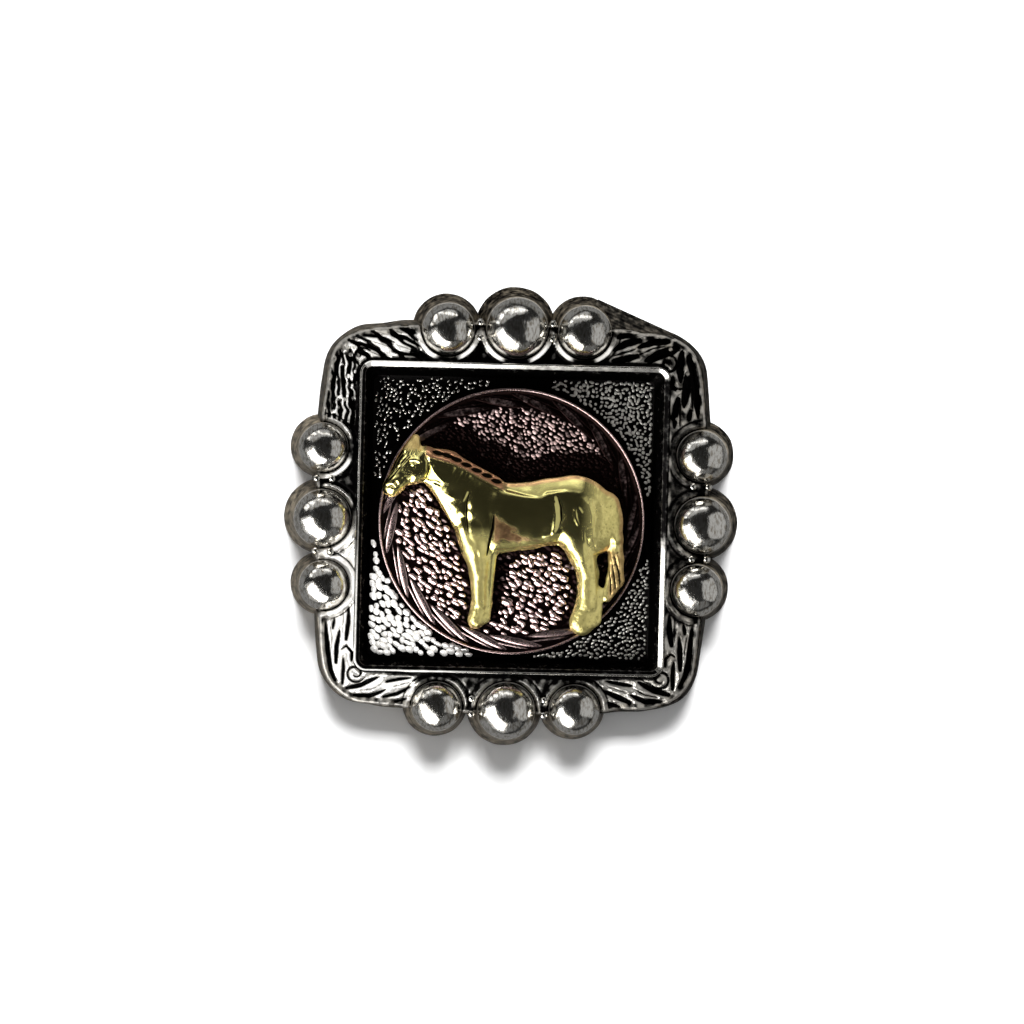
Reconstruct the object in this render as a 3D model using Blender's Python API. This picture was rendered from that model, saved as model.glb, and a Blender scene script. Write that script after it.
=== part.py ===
import math

import bmesh
import bpy
from mathutils import Vector
from mathutils.geometry import delaunay_2d_cdt

# A square western concho: one cast frame with beads and leaf scrolls, a copper medallion in its
# window and a horse in relief on the medallion. Lengths are metres. +Y is the top of the concho,
# +Z its front, and the back rim lies on Z = 0.

# Frame outline at the underside
FRAME_HALF = 0.01664
FRAME_CORNER_RADIUS = 0.0042
FRAME_BULGE = 0.00075
SIDE_DRAFT = 0.00034
EDGE_ROUND = 0.00026

# Frame heights
FRAME_HEIGHT = 0.0040
FLOOR_THICKNESS = 0.0012

# Window and its lip
WINDOW_HALF = 0.01245
WINDOW_CORNER_RADIUS = 0.0006
WINDOW_WALL_RUN = 0.0008
LIP_WIDTH = 0.0004
LIP_HEIGHT = 0.0003
LIP_ROUND = 0.00012

# Hollow back with its screw boss
BACK_RIM_WIDTH = 0.0040
RECESS_DEPTH = 0.0013
RECESS_CORNER_RADIUS = 0.0020
RECESS_DRAFT = 0.0003
BOSS_RADIUS = 0.0032
BOSS_SETBACK = 0.00025
BOSS_DRAFT = 0.0002
HOLE_RADIUS = 0.00175
HOLE_DEPTH = 0.00165

# Beads, three to a side
MIDDLE_BEAD_RADIUS = 0.0025
SIDE_BEAD_RADIUS = 0.00216
BEAD_SPACING = 0.0057
MIDDLE_BEAD_INSET = 0.00071
SIDE_BEAD_INSET = 0.00094
BEAD_SINK = 0.0005
SKIRT_FLARE = 0.00062
SKIRT_LIFT = 0.0001
# The skirt's profile: its waist's height and how far it has drawn in there, then where it ends
WAIST_HEIGHT_SHARE = 0.55
WAIST_FLARE_SHARE = 0.35
SKIRT_TOP_SHARE = 0.88

# Raised seat round the inner half of each bead
SEAT_GAP = 0.00018
SEAT_WIDTH = 0.00034
SEAT_HEIGHT = 0.00034
SEAT_SWEEP = math.radians(84)
SEAT_END_THINNING = 0.75

# Berries between the beads
BERRY_RADIUS = 0.00030
BERRY_HEIGHT = 0.00042
BERRY_OUTWARD = 0.00050
BERRY_INWARD = 0.00078
BERRY_SHOULDER_SHARE = 0.85

# Leaf scrolls: where a leaf starts along the side, its own length and that of the leaf after it
LEAF_STARTS = (1.85, 1.45, 1.10, 0.93)
LEAF_LENGTHS = (0.0021, 0.0021, 0.0021, 0.0020)
AFTERLEAF_LENGTHS = (0.0, 0.0013, 0.0019, 0.0)
LEAF_ACROSS = 0.87
LEAF_SLANT = math.radians(24)
LEAF_WIDTH = 0.00046
LEAF_HEIGHT = 0.00034
LEAF_GAP = 0.00025
LEAF_BOW = 0.00012
LEAF_STATIONS = (0.0, 0.28, 0.68, 1.0)
LEAF_TIP_SHARE = 0.12
VOLUTE_RADIUS = 0.00062
VOLUTE_EYE_RADIUS = 0.00016
VOLUTE_TURNS = 1.25
VOLUTE_WIDTH = 0.00026
VOLUTE_HEIGHT = 0.00032
VOLUTE_ACROSS = 0.42
VOLUTE_START = math.radians(225)
VOLUTE_THINNING = 0.5
ROOT = 0.00016

# Web of metal left between the top right bead and its corner
WEB_HEIGHT = 0.0018
WEB_ROOT_SHARE = 0.4
WEB_SETBACK_SHARE = 0.2

# Medallion
MEDALLION_DROP = 0.00025
MEDALLION_SIDE_CLEARANCE = 0.0003
MEDALLION_THICKNESS = 0.0006
RIM_RISE = 0.00035
RIM_WIDTH = 0.00020
RIM_BEVEL_SHARE = 1 / 3
RIM_GROOVE_SHARE = 0.4
ROPE_WIDTH = 0.00095
ROPE_STRANDS = 20
ROPE_SLANT = 0.9
ROPE_GROOVE_SHARE = 0.35
# Where the rope's rings lie across it, and how full it starts at its inner edge
ROPE_RING_SHARES = (0.7, 0.25)
ROPE_START_FULLNESS = 0.15

# Solder line under the medallion and under the horse
SOLDER_GAP = 0.0001

# Horse, whose form is in shares of its own length
HORSE_SPAN_SHARE = 0.90
HORSE_CENTRE = (-0.032, -0.045)
HORSE_EDGE = 0.030
HORSE_BLEND = 0.015
HORSE_RELIEF_BLEND = 0.006
HORSE_OUTLINE_STEP = 0.024
HORSE_FACET = 0.034
HORSE_SHOULDER = 0.014
HORSE_LIMB_RADIUS = 0.070
# Masses: start and end with the radius at each, then the height over the ground
HORSE_MASSES = {
    "barrel": ((0.000, 0.061, 0.146), (0.095, 0.070, 0.136), 0.088),
    "back": ((0.095, 0.070, 0.136), (0.190, 0.090, 0.135), 0.088),
    "loin": ((0.190, 0.090, 0.135), (0.285, 0.103, 0.141), 0.088),
    "rump": ((0.311, 0.083, 0.150), (0.349, 0.054, 0.146), 0.092),
    "shoulder": ((-0.090, 0.106, 0.117), (-0.055, 0.024, 0.117), 0.085),
    "neck": ((-0.256, 0.248, 0.090), (-0.116, 0.122, 0.140), 0.075),
    "poll": ((-0.332, 0.292, 0.060), (-0.256, 0.248, 0.090), 0.070),
    "cheek": ((-0.365, 0.270, 0.072), (-0.386, 0.261, 0.069), 0.070),
    "face": ((-0.386, 0.270, 0.058), (-0.459, 0.193, 0.038), 0.060),
    "muzzle": ((-0.459, 0.189, 0.039), (-0.471, 0.176, 0.038), 0.056),
    "ear": ((-0.392, 0.341, 0.027), (-0.376, 0.387, 0.014), 0.053),
    "breast": ((-0.130, 0.014, 0.075), (-0.111, -0.065, 0.067), 0.078),
    "forearm": ((-0.111, -0.057, 0.065), (-0.096, -0.173, 0.041), 0.070),
    "fore_cannon": ((-0.100, -0.173, 0.038), (-0.093, -0.298, 0.033), 0.065),
    "fore_hoof": ((-0.093, -0.307, 0.035), (-0.108, -0.369, 0.035), 0.060),
    "far_fore": ((-0.056, -0.097, 0.029), (-0.064, -0.297, 0.020), 0.043),
    "far_fore_hoof": ((-0.064, -0.297, 0.020), (-0.075, -0.356, 0.027), 0.043),
    "thigh": ((0.304, 0.020, 0.108), (0.327, -0.075, 0.060), 0.080),
    "gaskin": ((0.327, -0.075, 0.058), (0.354, -0.162, 0.044), 0.072),
    "hind_cannon": ((0.354, -0.162, 0.044), (0.357, -0.296, 0.044), 0.067),
    "hind_hoof": ((0.353, -0.296, 0.046), (0.334, -0.371, 0.052), 0.062),
    "far_hind": ((0.400, -0.240, 0.022), (0.380, -0.352, 0.036), 0.043),
    "dock": ((0.426, 0.123, 0.054), (0.463, -0.018, 0.033), 0.065),
    "tail": ((0.463, -0.018, 0.033), (0.471, -0.101, 0.030), 0.052),
    "switch": ((0.471, -0.101, 0.030), (0.471, -0.184, 0.035), 0.048),
    "tail_tip": ((0.467, -0.193, 0.035), (0.436, -0.260, 0.021), 0.044),
}
# Mane locks run down from the crest, tail locks down the switch
MANE_START = (-0.300, 0.340)
MANE_END = (-0.045, 0.222)
MANE_LOCKS = 8
MANE_LOCK_LENGTH = 0.045
MANE_LOCK_SLANT = math.radians(-38)
TAIL_LOCK_START = (0.458, -0.060)
TAIL_LOCK_END = (0.472, -0.215)
TAIL_LOCKS = 3
TAIL_LOCK_PITCH = 0.020
LOCK_WIDTH = 0.014
LOCK_HEIGHT = 0.011
LOCK_ROOT = 0.012
LOCK_STATIONS = (0.0, 0.3, 0.7, 1.0)
LOCK_TIP_SHARE = 0.2

# Facets
SIDE_STEPS = 6
HALF_CORNER_STEPS = 3
BEAD_SEGMENTS = 20
DOME_RINGS = 4
SEAT_STEPS = 7
BERRY_SEGMENTS = 6
VOLUTE_STEPS = 9
ROPE_FACETS = 4
RIM_CUT_SEGMENTS = 52
RIM_CUT_REACH_SHARE = 1.2
SMOOTH_ANGLE = math.radians(32)

# Heights and reaches worked out from the sizes above
WINDOW_FLOOR_Z = RECESS_DEPTH + FLOOR_THICKNESS
WINDOW_FLOOR_HALF = WINDOW_HALF - WINDOW_WALL_RUN
LIP_FOOT_HALF = WINDOW_HALF + LIP_WIDTH
TOP_EDGE_HALF = FRAME_HALF - SIDE_DRAFT - EDGE_ROUND
TOP_CORNER_RADIUS = FRAME_CORNER_RADIUS - SIDE_DRAFT - EDGE_ROUND
MEDALLION_RADIUS = WINDOW_FLOOR_HALF - MEDALLION_DROP - MEDALLION_SIDE_CLEARANCE
ROPE_OUTER_RADIUS = MEDALLION_RADIUS - RIM_WIDTH
ROPE_INNER_RADIUS = ROPE_OUTER_RADIUS - ROPE_WIDTH
MEDALLION_Z = WINDOW_FLOOR_Z + SOLDER_GAP
GROUND_Z = MEDALLION_Z + MEDALLION_THICKNESS
HORSE_Z = GROUND_Z + SOLDER_GAP
HORSE_LENGTH = 2 * MEDALLION_RADIUS * HORSE_SPAN_SHARE


def clear_scene():
    for item in list(bpy.data.objects):
        bpy.data.objects.remove(item, do_unlink=True)


def metal(name, colour, roughness):
    material = bpy.data.materials.new(name)
    material.use_nodes = True
    shader = material.node_tree.nodes["Principled BSDF"]
    shader.inputs["Base Color"].default_value = (*colour, 1.0)
    shader.inputs["Roughness"].default_value = roughness
    shader.inputs["Metallic"].default_value = 1.0
    return material


def add_object(name, form, parent, place=(0, 0, 0), material=None):
    bmesh.ops.recalc_face_normals(form, faces=form.faces)
    mesh = bpy.data.meshes.new(name)
    form.to_mesh(mesh)
    form.free()
    mesh.shade_smooth()
    mesh.set_sharp_from_angle(angle=SMOOTH_ANGLE)
    item = bpy.data.objects.new(name, mesh)
    bpy.context.scene.collection.objects.link(item)
    item.parent = parent
    item.location = place
    if material:
        mesh.materials.append(material)
    return item


def combine(target, tool, operation):
    tool.hide_render = True
    tool.display_type = "WIRE"
    modifier = target.modifiers.new(tool.name, "BOOLEAN")
    modifier.operation = operation
    modifier.solver = "EXACT"
    modifier.object = tool


def add_loft(form, rings, apex=None):
    # Skin over rings of equal point count, closed flat at the start and flat or to a point at the end
    loops = [[form.verts.new(point) for point in ring] for ring in rings]
    for lower, upper in zip(loops, loops[1:]):
        for index in range(len(lower)):
            form.faces.new((lower[index - 1], lower[index], upper[index], upper[index - 1]))
    form.faces.new(loops[0])
    if apex is None:
        form.faces.new(loops[-1])
        return
    tip = form.verts.new(apex)
    last = loops[-1]
    for index in range(len(last)):
        form.faces.new((last[index - 1], last[index], tip))


def circle(centre, radius, height, segments):
    angles = [2 * math.pi * (step + 0.5) / segments for step in range(segments)]
    return [
        Vector((centre.x + radius * math.sin(a), centre.y + radius * math.cos(a), height))
        for a in angles
    ]


def add_turned(form, centre, profile, top, segments):
    rings = [circle(centre, radius, height, segments) for radius, height in profile]
    add_loft(form, rings, Vector((centre.x, centre.y, top)))


def add_ridge(form, path, widths, crests, foot):
    # Three-sided ridge along a path, with its foot buried below the face that it stands on
    rings = []
    for index, point in enumerate(path):
        ahead = path[min(index + 1, len(path) - 1)]
        behind = path[max(index - 1, 0)]
        run = (ahead - behind).normalized()
        across = Vector((-run.y, run.x)) * widths[index] / 2
        left = point + across
        right = point - across
        low = foot[index]
        rings.append([
            Vector((left.x, left.y, low)),
            Vector((point.x, point.y, crests[index])),
            Vector((right.x, right.y, low)),
        ])
    add_loft(form, rings)


def lens(share):
    # Plan of a pointed leaf: nothing at its tips, full a third of the way along
    return math.sin(math.pi * share ** 0.75) ** 0.8 if 0 < share < 1 else 0.0


def turned_by_quarters(point, quarters):
    for _ in range(quarters % 4):
        point = Vector((point.y, -point.x))
    return point


def pillow_point(half, radius, bulge, along):
    # A point of the upper side: along is 0 mid-side, 1 where the corner starts, 2 on the diagonal
    tilt = math.atan2(2 * bulge, half - bulge - radius)
    centre = half - bulge - radius * math.cos(tilt)
    start = centre + radius * math.sin(tilt)
    share = abs(along)
    if share <= 1:
        x = start * share
        y = half - bulge * share ** 2
    else:
        angle = tilt + (share - 1) * (math.pi / 4 - tilt)
        x = centre + radius * math.sin(angle)
        y = centre + radius * math.cos(angle)
    return Vector((math.copysign(x, along), y))


def side_stations():
    corner = [1 + step / HALF_CORNER_STEPS for step in range(1, HALF_CORNER_STEPS)]
    straight = [2 * step / SIDE_STEPS - 1 for step in range(SIDE_STEPS + 1)]
    return [-2.0] + [-value for value in reversed(corner)] + straight + corner


def pillow_ring(half, radius, bulge, height):
    ring = []
    for quarter in range(4):
        for along in side_stations():
            flat = turned_by_quarters(pillow_point(half, radius, bulge, along), quarter)
            ring.append(Vector((flat.x, flat.y, height)))
    return ring


def round_ring(radius, height):
    # A circle whose points stand at the same bearings as those of the square rings
    guide = pillow_ring(FRAME_HALF, FRAME_CORNER_RADIUS, 0.0, height)
    bearings = [math.atan2(point.x, point.y) for point in guide]
    return [Vector((radius * math.sin(a), radius * math.cos(a), height)) for a in bearings]


def frame_form():
    form = bmesh.new()
    lip_z = FRAME_HEIGHT + LIP_HEIGHT
    window_radius = WINDOW_CORNER_RADIUS
    recess_half = FRAME_HALF - BACK_RIM_WIDTH
    boss_z = BOSS_SETBACK
    rings = [
        pillow_ring(WINDOW_FLOOR_HALF, window_radius, 0.0, WINDOW_FLOOR_Z),
        pillow_ring(WINDOW_HALF, window_radius, 0.0, lip_z - LIP_ROUND),
        pillow_ring(WINDOW_HALF + LIP_ROUND, window_radius + LIP_ROUND, 0.0, lip_z),
        pillow_ring(LIP_FOOT_HALF - LIP_ROUND, window_radius + LIP_WIDTH - LIP_ROUND, 0.0, lip_z),
        pillow_ring(LIP_FOOT_HALF, window_radius + LIP_WIDTH, 0.0, FRAME_HEIGHT),
        pillow_ring(TOP_EDGE_HALF, TOP_CORNER_RADIUS, FRAME_BULGE, FRAME_HEIGHT),
        pillow_ring(
            TOP_EDGE_HALF + EDGE_ROUND, TOP_CORNER_RADIUS + EDGE_ROUND, FRAME_BULGE,
            FRAME_HEIGHT - EDGE_ROUND,
        ),
        pillow_ring(FRAME_HALF, FRAME_CORNER_RADIUS, FRAME_BULGE, 0.0),
        pillow_ring(recess_half, RECESS_CORNER_RADIUS, 0.0, 0.0),
        pillow_ring(recess_half - RECESS_DRAFT, RECESS_CORNER_RADIUS, 0.0, RECESS_DEPTH),
        round_ring(BOSS_RADIUS + BOSS_DRAFT, RECESS_DEPTH),
        round_ring(BOSS_RADIUS, boss_z),
        round_ring(HOLE_RADIUS, boss_z),
        round_ring(HOLE_RADIUS, boss_z + HOLE_DEPTH),
    ]
    add_loft(form, rings)
    return form


def bead_places(middle):
    # Centre of each bead, the bearing that it faces outward and its radius
    places = []
    for quarter in range(4):
        offsets = (0.0,) if middle else (-BEAD_SPACING, BEAD_SPACING)
        inset = MIDDLE_BEAD_INSET if middle else SIDE_BEAD_INSET
        radius = MIDDLE_BEAD_RADIUS if middle else SIDE_BEAD_RADIUS
        for offset in offsets:
            centre = turned_by_quarters(Vector((offset, FRAME_HALF - inset)), quarter)
            places.append((centre, quarter * math.pi / 2, radius))
    return places


def skirt_radius(radius):
    return radius + SKIRT_FLARE


def beads_form(middle):
    form = bmesh.new()
    equator = FRAME_HEIGHT - BEAD_SINK
    for centre, _, radius in bead_places(middle):
        foot = skirt_radius(radius)
        profile = [
            (foot, SKIRT_LIFT),
            (foot - WAIST_FLARE_SHARE * SKIRT_FLARE, WAIST_HEIGHT_SHARE * equator),
            (radius, SKIRT_TOP_SHARE * equator),
        ]
        for step in range(1, DOME_RINGS):
            angle = math.pi / 2 * step / DOME_RINGS
            profile.append((radius * math.cos(angle), equator + radius * math.sin(angle)))
        add_turned(form, centre, profile, equator + radius, BEAD_SEGMENTS)
    return form


def seats_form(middle):
    form = bmesh.new()
    for centre, bearing, radius in bead_places(middle):
        middle_line = radius + SEAT_GAP + SEAT_WIDTH / 2
        inward = bearing + math.pi
        path, widths, crests = [], [], []
        for step in range(SEAT_STEPS + 1):
            swing = 2 * step / SEAT_STEPS - 1
            angle = inward + swing * SEAT_SWEEP
            path.append(centre + middle_line * Vector((math.sin(angle), math.cos(angle))))
            fullness = 1 - SEAT_END_THINNING * abs(swing) ** 4
            widths.append(SEAT_WIDTH * fullness)
            crests.append(FRAME_HEIGHT + SEAT_HEIGHT * fullness)
        add_ridge(form, path, widths, crests, [FRAME_HEIGHT - ROOT] * len(path))
    return form


def berries_form():
    form = bmesh.new()
    row = FRAME_HALF - (MIDDLE_BEAD_INSET + SIDE_BEAD_INSET) / 2
    gap_middle = (BEAD_SPACING + MIDDLE_BEAD_RADIUS - SIDE_BEAD_RADIUS) / 2
    top = FRAME_HEIGHT + BERRY_HEIGHT
    foot = FRAME_HEIGHT / 2
    shoulder = BERRY_RADIUS * BERRY_SHOULDER_SHARE
    profile = [(BERRY_RADIUS, foot), (shoulder, top - BERRY_RADIUS / 2)]
    for quarter in range(4):
        for side in (-1, 1):
            for shift in (BERRY_OUTWARD, -BERRY_INWARD):
                flat = Vector((side * gap_middle, row + shift))
                add_turned(form, turned_by_quarters(flat, quarter), profile, top, BERRY_SEGMENTS)
    return form


def border_point(along, across):
    # A point on the border's face between the foot of the lip and the outer edge
    inner = pillow_point(LIP_FOOT_HALF, WINDOW_CORNER_RADIUS + LIP_WIDTH, 0.0, along)
    outer = pillow_point(TOP_EDGE_HALF, TOP_CORNER_RADIUS, FRAME_BULGE, along)
    return inner.lerp(outer, across)


def placed_in_corner(point, mirrored, quarter):
    return turned_by_quarters(Vector((-point.x, point.y)) if mirrored else point, quarter)


def leaf_strokes():
    # Start and end of each leaf of the right half of the upper side
    run = Vector((-math.cos(LEAF_SLANT), -math.sin(LEAF_SLANT)))
    strokes = []
    for along, length, after in zip(LEAF_STARTS, LEAF_LENGTHS, AFTERLEAF_LENGTHS):
        start = border_point(along, LEAF_ACROSS)
        end = start + run * length
        strokes.append((start, end))
        if after > 0:
            next_start = end + run * LEAF_GAP
            strokes.append((next_start, next_start + run * after))
    return strokes


def leaves_form():
    form = bmesh.new()
    fullness = [LEAF_TIP_SHARE + (1 - LEAF_TIP_SHARE) * lens(share) for share in LEAF_STATIONS]
    widths = [LEAF_WIDTH * full for full in fullness]
    crests = [FRAME_HEIGHT + LEAF_HEIGHT * full for full in fullness]
    foot = [FRAME_HEIGHT - ROOT] * len(LEAF_STATIONS)
    for start, end in leaf_strokes():
        bow = (end - start).orthogonal().normalized() * LEAF_BOW
        for quarter in range(4):
            for mirrored in (False, True):
                path = []
                for share in LEAF_STATIONS:
                    flat = start.lerp(end, share) + bow * math.sin(math.pi * share)
                    path.append(placed_in_corner(flat, mirrored, quarter))
                add_ridge(form, path, widths, crests, foot)
    return form


def volutes_form():
    form = bmesh.new()
    eye = border_point(2.0, VOLUTE_ACROSS)
    for quarter in range(4):
        path, widths, crests = [], [], []
        for step in range(VOLUTE_STEPS + 1):
            share = step / VOLUTE_STEPS
            radius = VOLUTE_RADIUS + (VOLUTE_EYE_RADIUS - VOLUTE_RADIUS) * share
            angle = VOLUTE_START + share * VOLUTE_TURNS * 2 * math.pi
            flat = eye + radius * Vector((math.sin(angle), math.cos(angle)))
            path.append(turned_by_quarters(flat, quarter))
            widths.append(VOLUTE_WIDTH * (1 - VOLUTE_THINNING * share))
            crests.append(FRAME_HEIGHT + VOLUTE_HEIGHT)
        add_ridge(form, path, widths, crests, [FRAME_HEIGHT - ROOT] * len(path))
    return form


def web_form():
    # The web's edge is the common tangent of the bead's skirt and of the frame's corner
    form = bmesh.new()
    bead = Vector((BEAD_SPACING, FRAME_HALF - SIDE_BEAD_INSET))
    bead_reach = skirt_radius(SIDE_BEAD_RADIUS) - SKIRT_FLARE * WEB_SETBACK_SHARE
    tilt = math.atan2(2 * FRAME_BULGE, FRAME_HALF - FRAME_BULGE - FRAME_CORNER_RADIUS)
    corner_centre = FRAME_HALF - FRAME_BULGE - FRAME_CORNER_RADIUS * math.cos(tilt)
    corner = Vector((corner_centre, corner_centre))
    corner_reach = FRAME_CORNER_RADIUS - SIDE_DRAFT
    line = corner - bead
    lean = math.asin((bead_reach - corner_reach) / line.length)
    bearing = math.atan2(line.y, line.x) + math.pi / 2 - lean
    normal = Vector((math.cos(bearing), math.sin(bearing)))
    outline = [
        bead + normal * bead_reach,
        corner + normal * corner_reach,
        corner + normal * corner_reach * WEB_ROOT_SHARE,
        bead + normal * bead_reach * WEB_ROOT_SHARE,
    ]
    rings = [[Vector((p.x, p.y, height)) for p in outline] for height in (ROOT, WEB_HEIGHT)]
    add_loft(form, rings)
    return form


def build_frame(parent):
    silver = metal("antique_silver_plate", (0.52, 0.51, 0.48), 0.28)
    frame = add_object("base", frame_form(), parent, material=silver)
    tools = (
        ("guide_middle_beads", beads_form(True)),
        ("guide_side_beads", beads_form(False)),
        ("guide_middle_seats", seats_form(True)),
        ("guide_side_seats", seats_form(False)),
        ("guide_berries", berries_form()),
        ("guide_leaves", leaves_form()),
        ("guide_volutes", volutes_form()),
        ("guide_web", web_form()),
    )
    for name, form in tools:
        combine(frame, add_object(name, form, parent), "UNION")
    return frame


def rope_height(angle, share):
    # Slanted strands: each rises to a crest and drops into a groove, lower towards the ground
    turn = ROPE_STRANDS * angle / (2 * math.pi) + ROPE_SLANT * share
    crest = abs(math.sin(math.pi * turn))
    fullness = ROPE_START_FULLNESS + (1 - ROPE_START_FULLNESS) * share
    body = math.sqrt(math.sin(math.pi * fullness))
    return RIM_RISE * body * (ROPE_GROOVE_SHARE + (1 - ROPE_GROOVE_SHARE) * crest)


def build_medallion(parent):
    form = bmesh.new()
    segments = ROPE_STRANDS * ROPE_FACETS
    centre = Vector((0.0, 0.0))
    ground = MEDALLION_THICKNESS
    rim = ground + RIM_RISE
    bevel = RIM_WIDTH * RIM_BEVEL_SHARE
    rings = [
        circle(centre, MEDALLION_RADIUS, 0.0, segments),
        circle(centre, MEDALLION_RADIUS, rim - bevel, segments),
        circle(centre, MEDALLION_RADIUS - bevel, rim, segments),
        circle(centre, ROPE_OUTER_RADIUS, ground + RIM_RISE * RIM_GROOVE_SHARE, segments),
    ]
    for share in ROPE_RING_SHARES:
        radius = ROPE_INNER_RADIUS + ROPE_WIDTH * share
        ring = circle(centre, radius, ground, segments)
        for index, point in enumerate(ring):
            point.z += rope_height(2 * math.pi * index / segments, share)
        rings.append(ring)
    rings.append(circle(centre, ROPE_INNER_RADIUS, ground, segments))
    add_loft(form, rings)
    copper = metal("oxidised_copper", (0.55, 0.33, 0.26), 0.35)
    place = (0.0, -MEDALLION_DROP, MEDALLION_Z)
    return add_object("medallion", form, parent, place, copper)


def reach_into(mass, x, y):
    # Distance from a mass's middle line and the mass's radius at the nearest point of it
    (x1, y1, r1), (x2, y2, r2), _ = mass
    run_x, run_y = x2 - x1, y2 - y1
    share = ((x - x1) * run_x + (y - y1) * run_y) / (run_x ** 2 + run_y ** 2)
    share = min(1.0, max(0.0, share))
    distance = math.hypot(x - x1 - share * run_x, y - y1 - share * run_y)
    return distance, r1 + (r2 - r1) * share


def smooth_least(first, second, blend):
    share = min(1.0, max(0.0, 0.5 + 0.5 * (first - second) / blend))
    return first * (1 - share) + second * share - blend * share * (1 - share)


def horse_outline_field(x, y):
    # Below zero inside the horse's outline
    field = 1.0
    for mass in HORSE_MASSES.values():
        distance, radius = reach_into(mass, x, y)
        field = smooth_least(field, distance - radius, HORSE_BLEND)
    return field


def horse_relief(x, y):
    # Height of the rounded form over the top of the horse's edge
    height = 0.0
    for mass in HORSE_MASSES.values():
        distance, radius = reach_into(mass, x, y)
        if distance < radius:
            bulk = (mass[2] - HORSE_EDGE) * math.sqrt(1 - (distance / radius) ** 2)
            height = -smooth_least(-height, -bulk, HORSE_RELIEF_BLEND)
    return max(height, 0.0)


def horse_bounds():
    ends = [end for mass in HORSE_MASSES.values() for end in mass[:2]]
    margin = 2 * HORSE_OUTLINE_STEP
    low_x = min(x - r for x, _, r in ends) - margin
    low_y = min(y - r for _, y, r in ends) - margin
    high_x = max(x + r for x, _, r in ends) + margin
    high_y = max(y + r for _, y, r in ends) + margin
    return low_x, low_y, high_x, high_y


def zero_crossings(step):
    # Line pieces of the outline, cell by cell, each joining two marked grid edges
    low_x, low_y, high_x, high_y = horse_bounds()
    columns = int((high_x - low_x) / step) + 1
    rows = int((high_y - low_y) / step) + 1
    values = {}
    for i in range(columns + 1):
        for j in range(rows + 1):
            values[i, j] = horse_outline_field(low_x + i * step, low_y + j * step)

    def crossing(a, b):
        share = values[a] / (values[a] - values[b])
        x = low_x + step * (a[0] + share * (b[0] - a[0]))
        y = low_y + step * (a[1] + share * (b[1] - a[1]))
        return Vector((x, y))

    pieces, places = {}, {}
    for i in range(columns):
        for j in range(rows):
            corners = [(i, j), (i + 1, j), (i + 1, j + 1), (i, j + 1)]
            leaving, entering = [], []
            for a, b in zip(corners, corners[1:] + corners[:1]):
                if (values[a] < 0) == (values[b] < 0):
                    continue
                key = (min(a, b), max(a, b))
                places[key] = crossing(*key)
                (leaving if values[a] < 0 else entering).append(key)
            for start, end in zip(leaving, entering):
                pieces[start] = end
    return pieces, places


def horse_loops():
    pieces, places = zero_crossings(HORSE_OUTLINE_STEP)
    loops = []
    while pieces:
        first, key = pieces.popitem()
        loop = [places[first]]
        while key != first:
            loop.append(places[key])
            key = pieces.pop(key)
        loops.append(thinned(loop, HORSE_OUTLINE_STEP * 0.55))
    return loops


def thinned(loop, least):
    kept = [loop[0]]
    for point in loop[1:]:
        if (point - kept[-1]).length > least:
            kept.append(point)
    if (kept[-1] - kept[0]).length < least:
        kept.pop()
    return kept


def inside_loops(point, loops):
    inside = False
    for loop in loops:
        for a, b in zip(loop, loop[1:] + loop[:1]):
            if (a.y > point.y) != (b.y > point.y):
                if point.x < a.x + (b.x - a.x) * (point.y - a.y) / (b.y - a.y):
                    inside = not inside
    return inside


def shoulder_points(loops):
    # A row of points just inside the outline, where the rounded form leaves its edge
    for loop in loops:
        for index, point in enumerate(loop):
            run = (loop[(index + 1) % len(loop)] - loop[index - 1]).normalized()
            for side in (-1, 1):
                yield point + side * HORSE_SHOULDER * Vector((-run.y, run.x))


def limb_points():
    # Points along the middle lines of the slender masses, so that each limb has its ridge
    for (x1, y1, r1), (x2, y2, r2), _ in HORSE_MASSES.values():
        if max(r1, r2) < HORSE_LIMB_RADIUS:
            start, end = Vector((x1, y1)), Vector((x2, y2))
            steps = max(1, round((end - start).length / HORSE_FACET))
            for step in range(steps + 1):
                yield start.lerp(end, step / steps)


def body_points():
    low_x, low_y, high_x, high_y = horse_bounds()
    row_pitch = HORSE_FACET * math.sqrt(0.75)
    for row in range(int((high_y - low_y) / row_pitch)):
        for column in range(int((high_x - low_x) / HORSE_FACET)):
            x = low_x + (column + 0.5 * (row % 2)) * HORSE_FACET
            yield Vector((x, low_y + row * row_pitch))


def inner_points(loops):
    kept = []
    for candidates, depth, spacing in (
        (limb_points(), HORSE_SHOULDER, 0.5 * HORSE_FACET),
        (shoulder_points(loops), 0.8 * HORSE_SHOULDER, 0.5 * HORSE_FACET),
        (body_points(), 1.8 * HORSE_SHOULDER, 0.7 * HORSE_FACET),
    ):
        for point in candidates:
            if horse_outline_field(point.x, point.y) > -depth:
                continue
            if all((point - other).length > spacing for other in kept):
                kept.append(point)
    return kept


def triangulated(loops, extra):
    points, edges = [], []
    for loop in loops:
        base = len(points)
        points.extend(loop)
        edges.extend((base + k, base + (k + 1) % len(loop)) for k in range(len(loop)))
    points.extend(extra)
    found = delaunay_2d_cdt(points, edges, [], 0, 1e-7)
    corners = found[0]
    faces = []
    for face in found[2]:
        middle = sum((corners[k] for k in face), Vector((0.0, 0.0))) / len(face)
        if inside_loops(middle, loops):
            faces.append(face)
    return corners, faces


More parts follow.
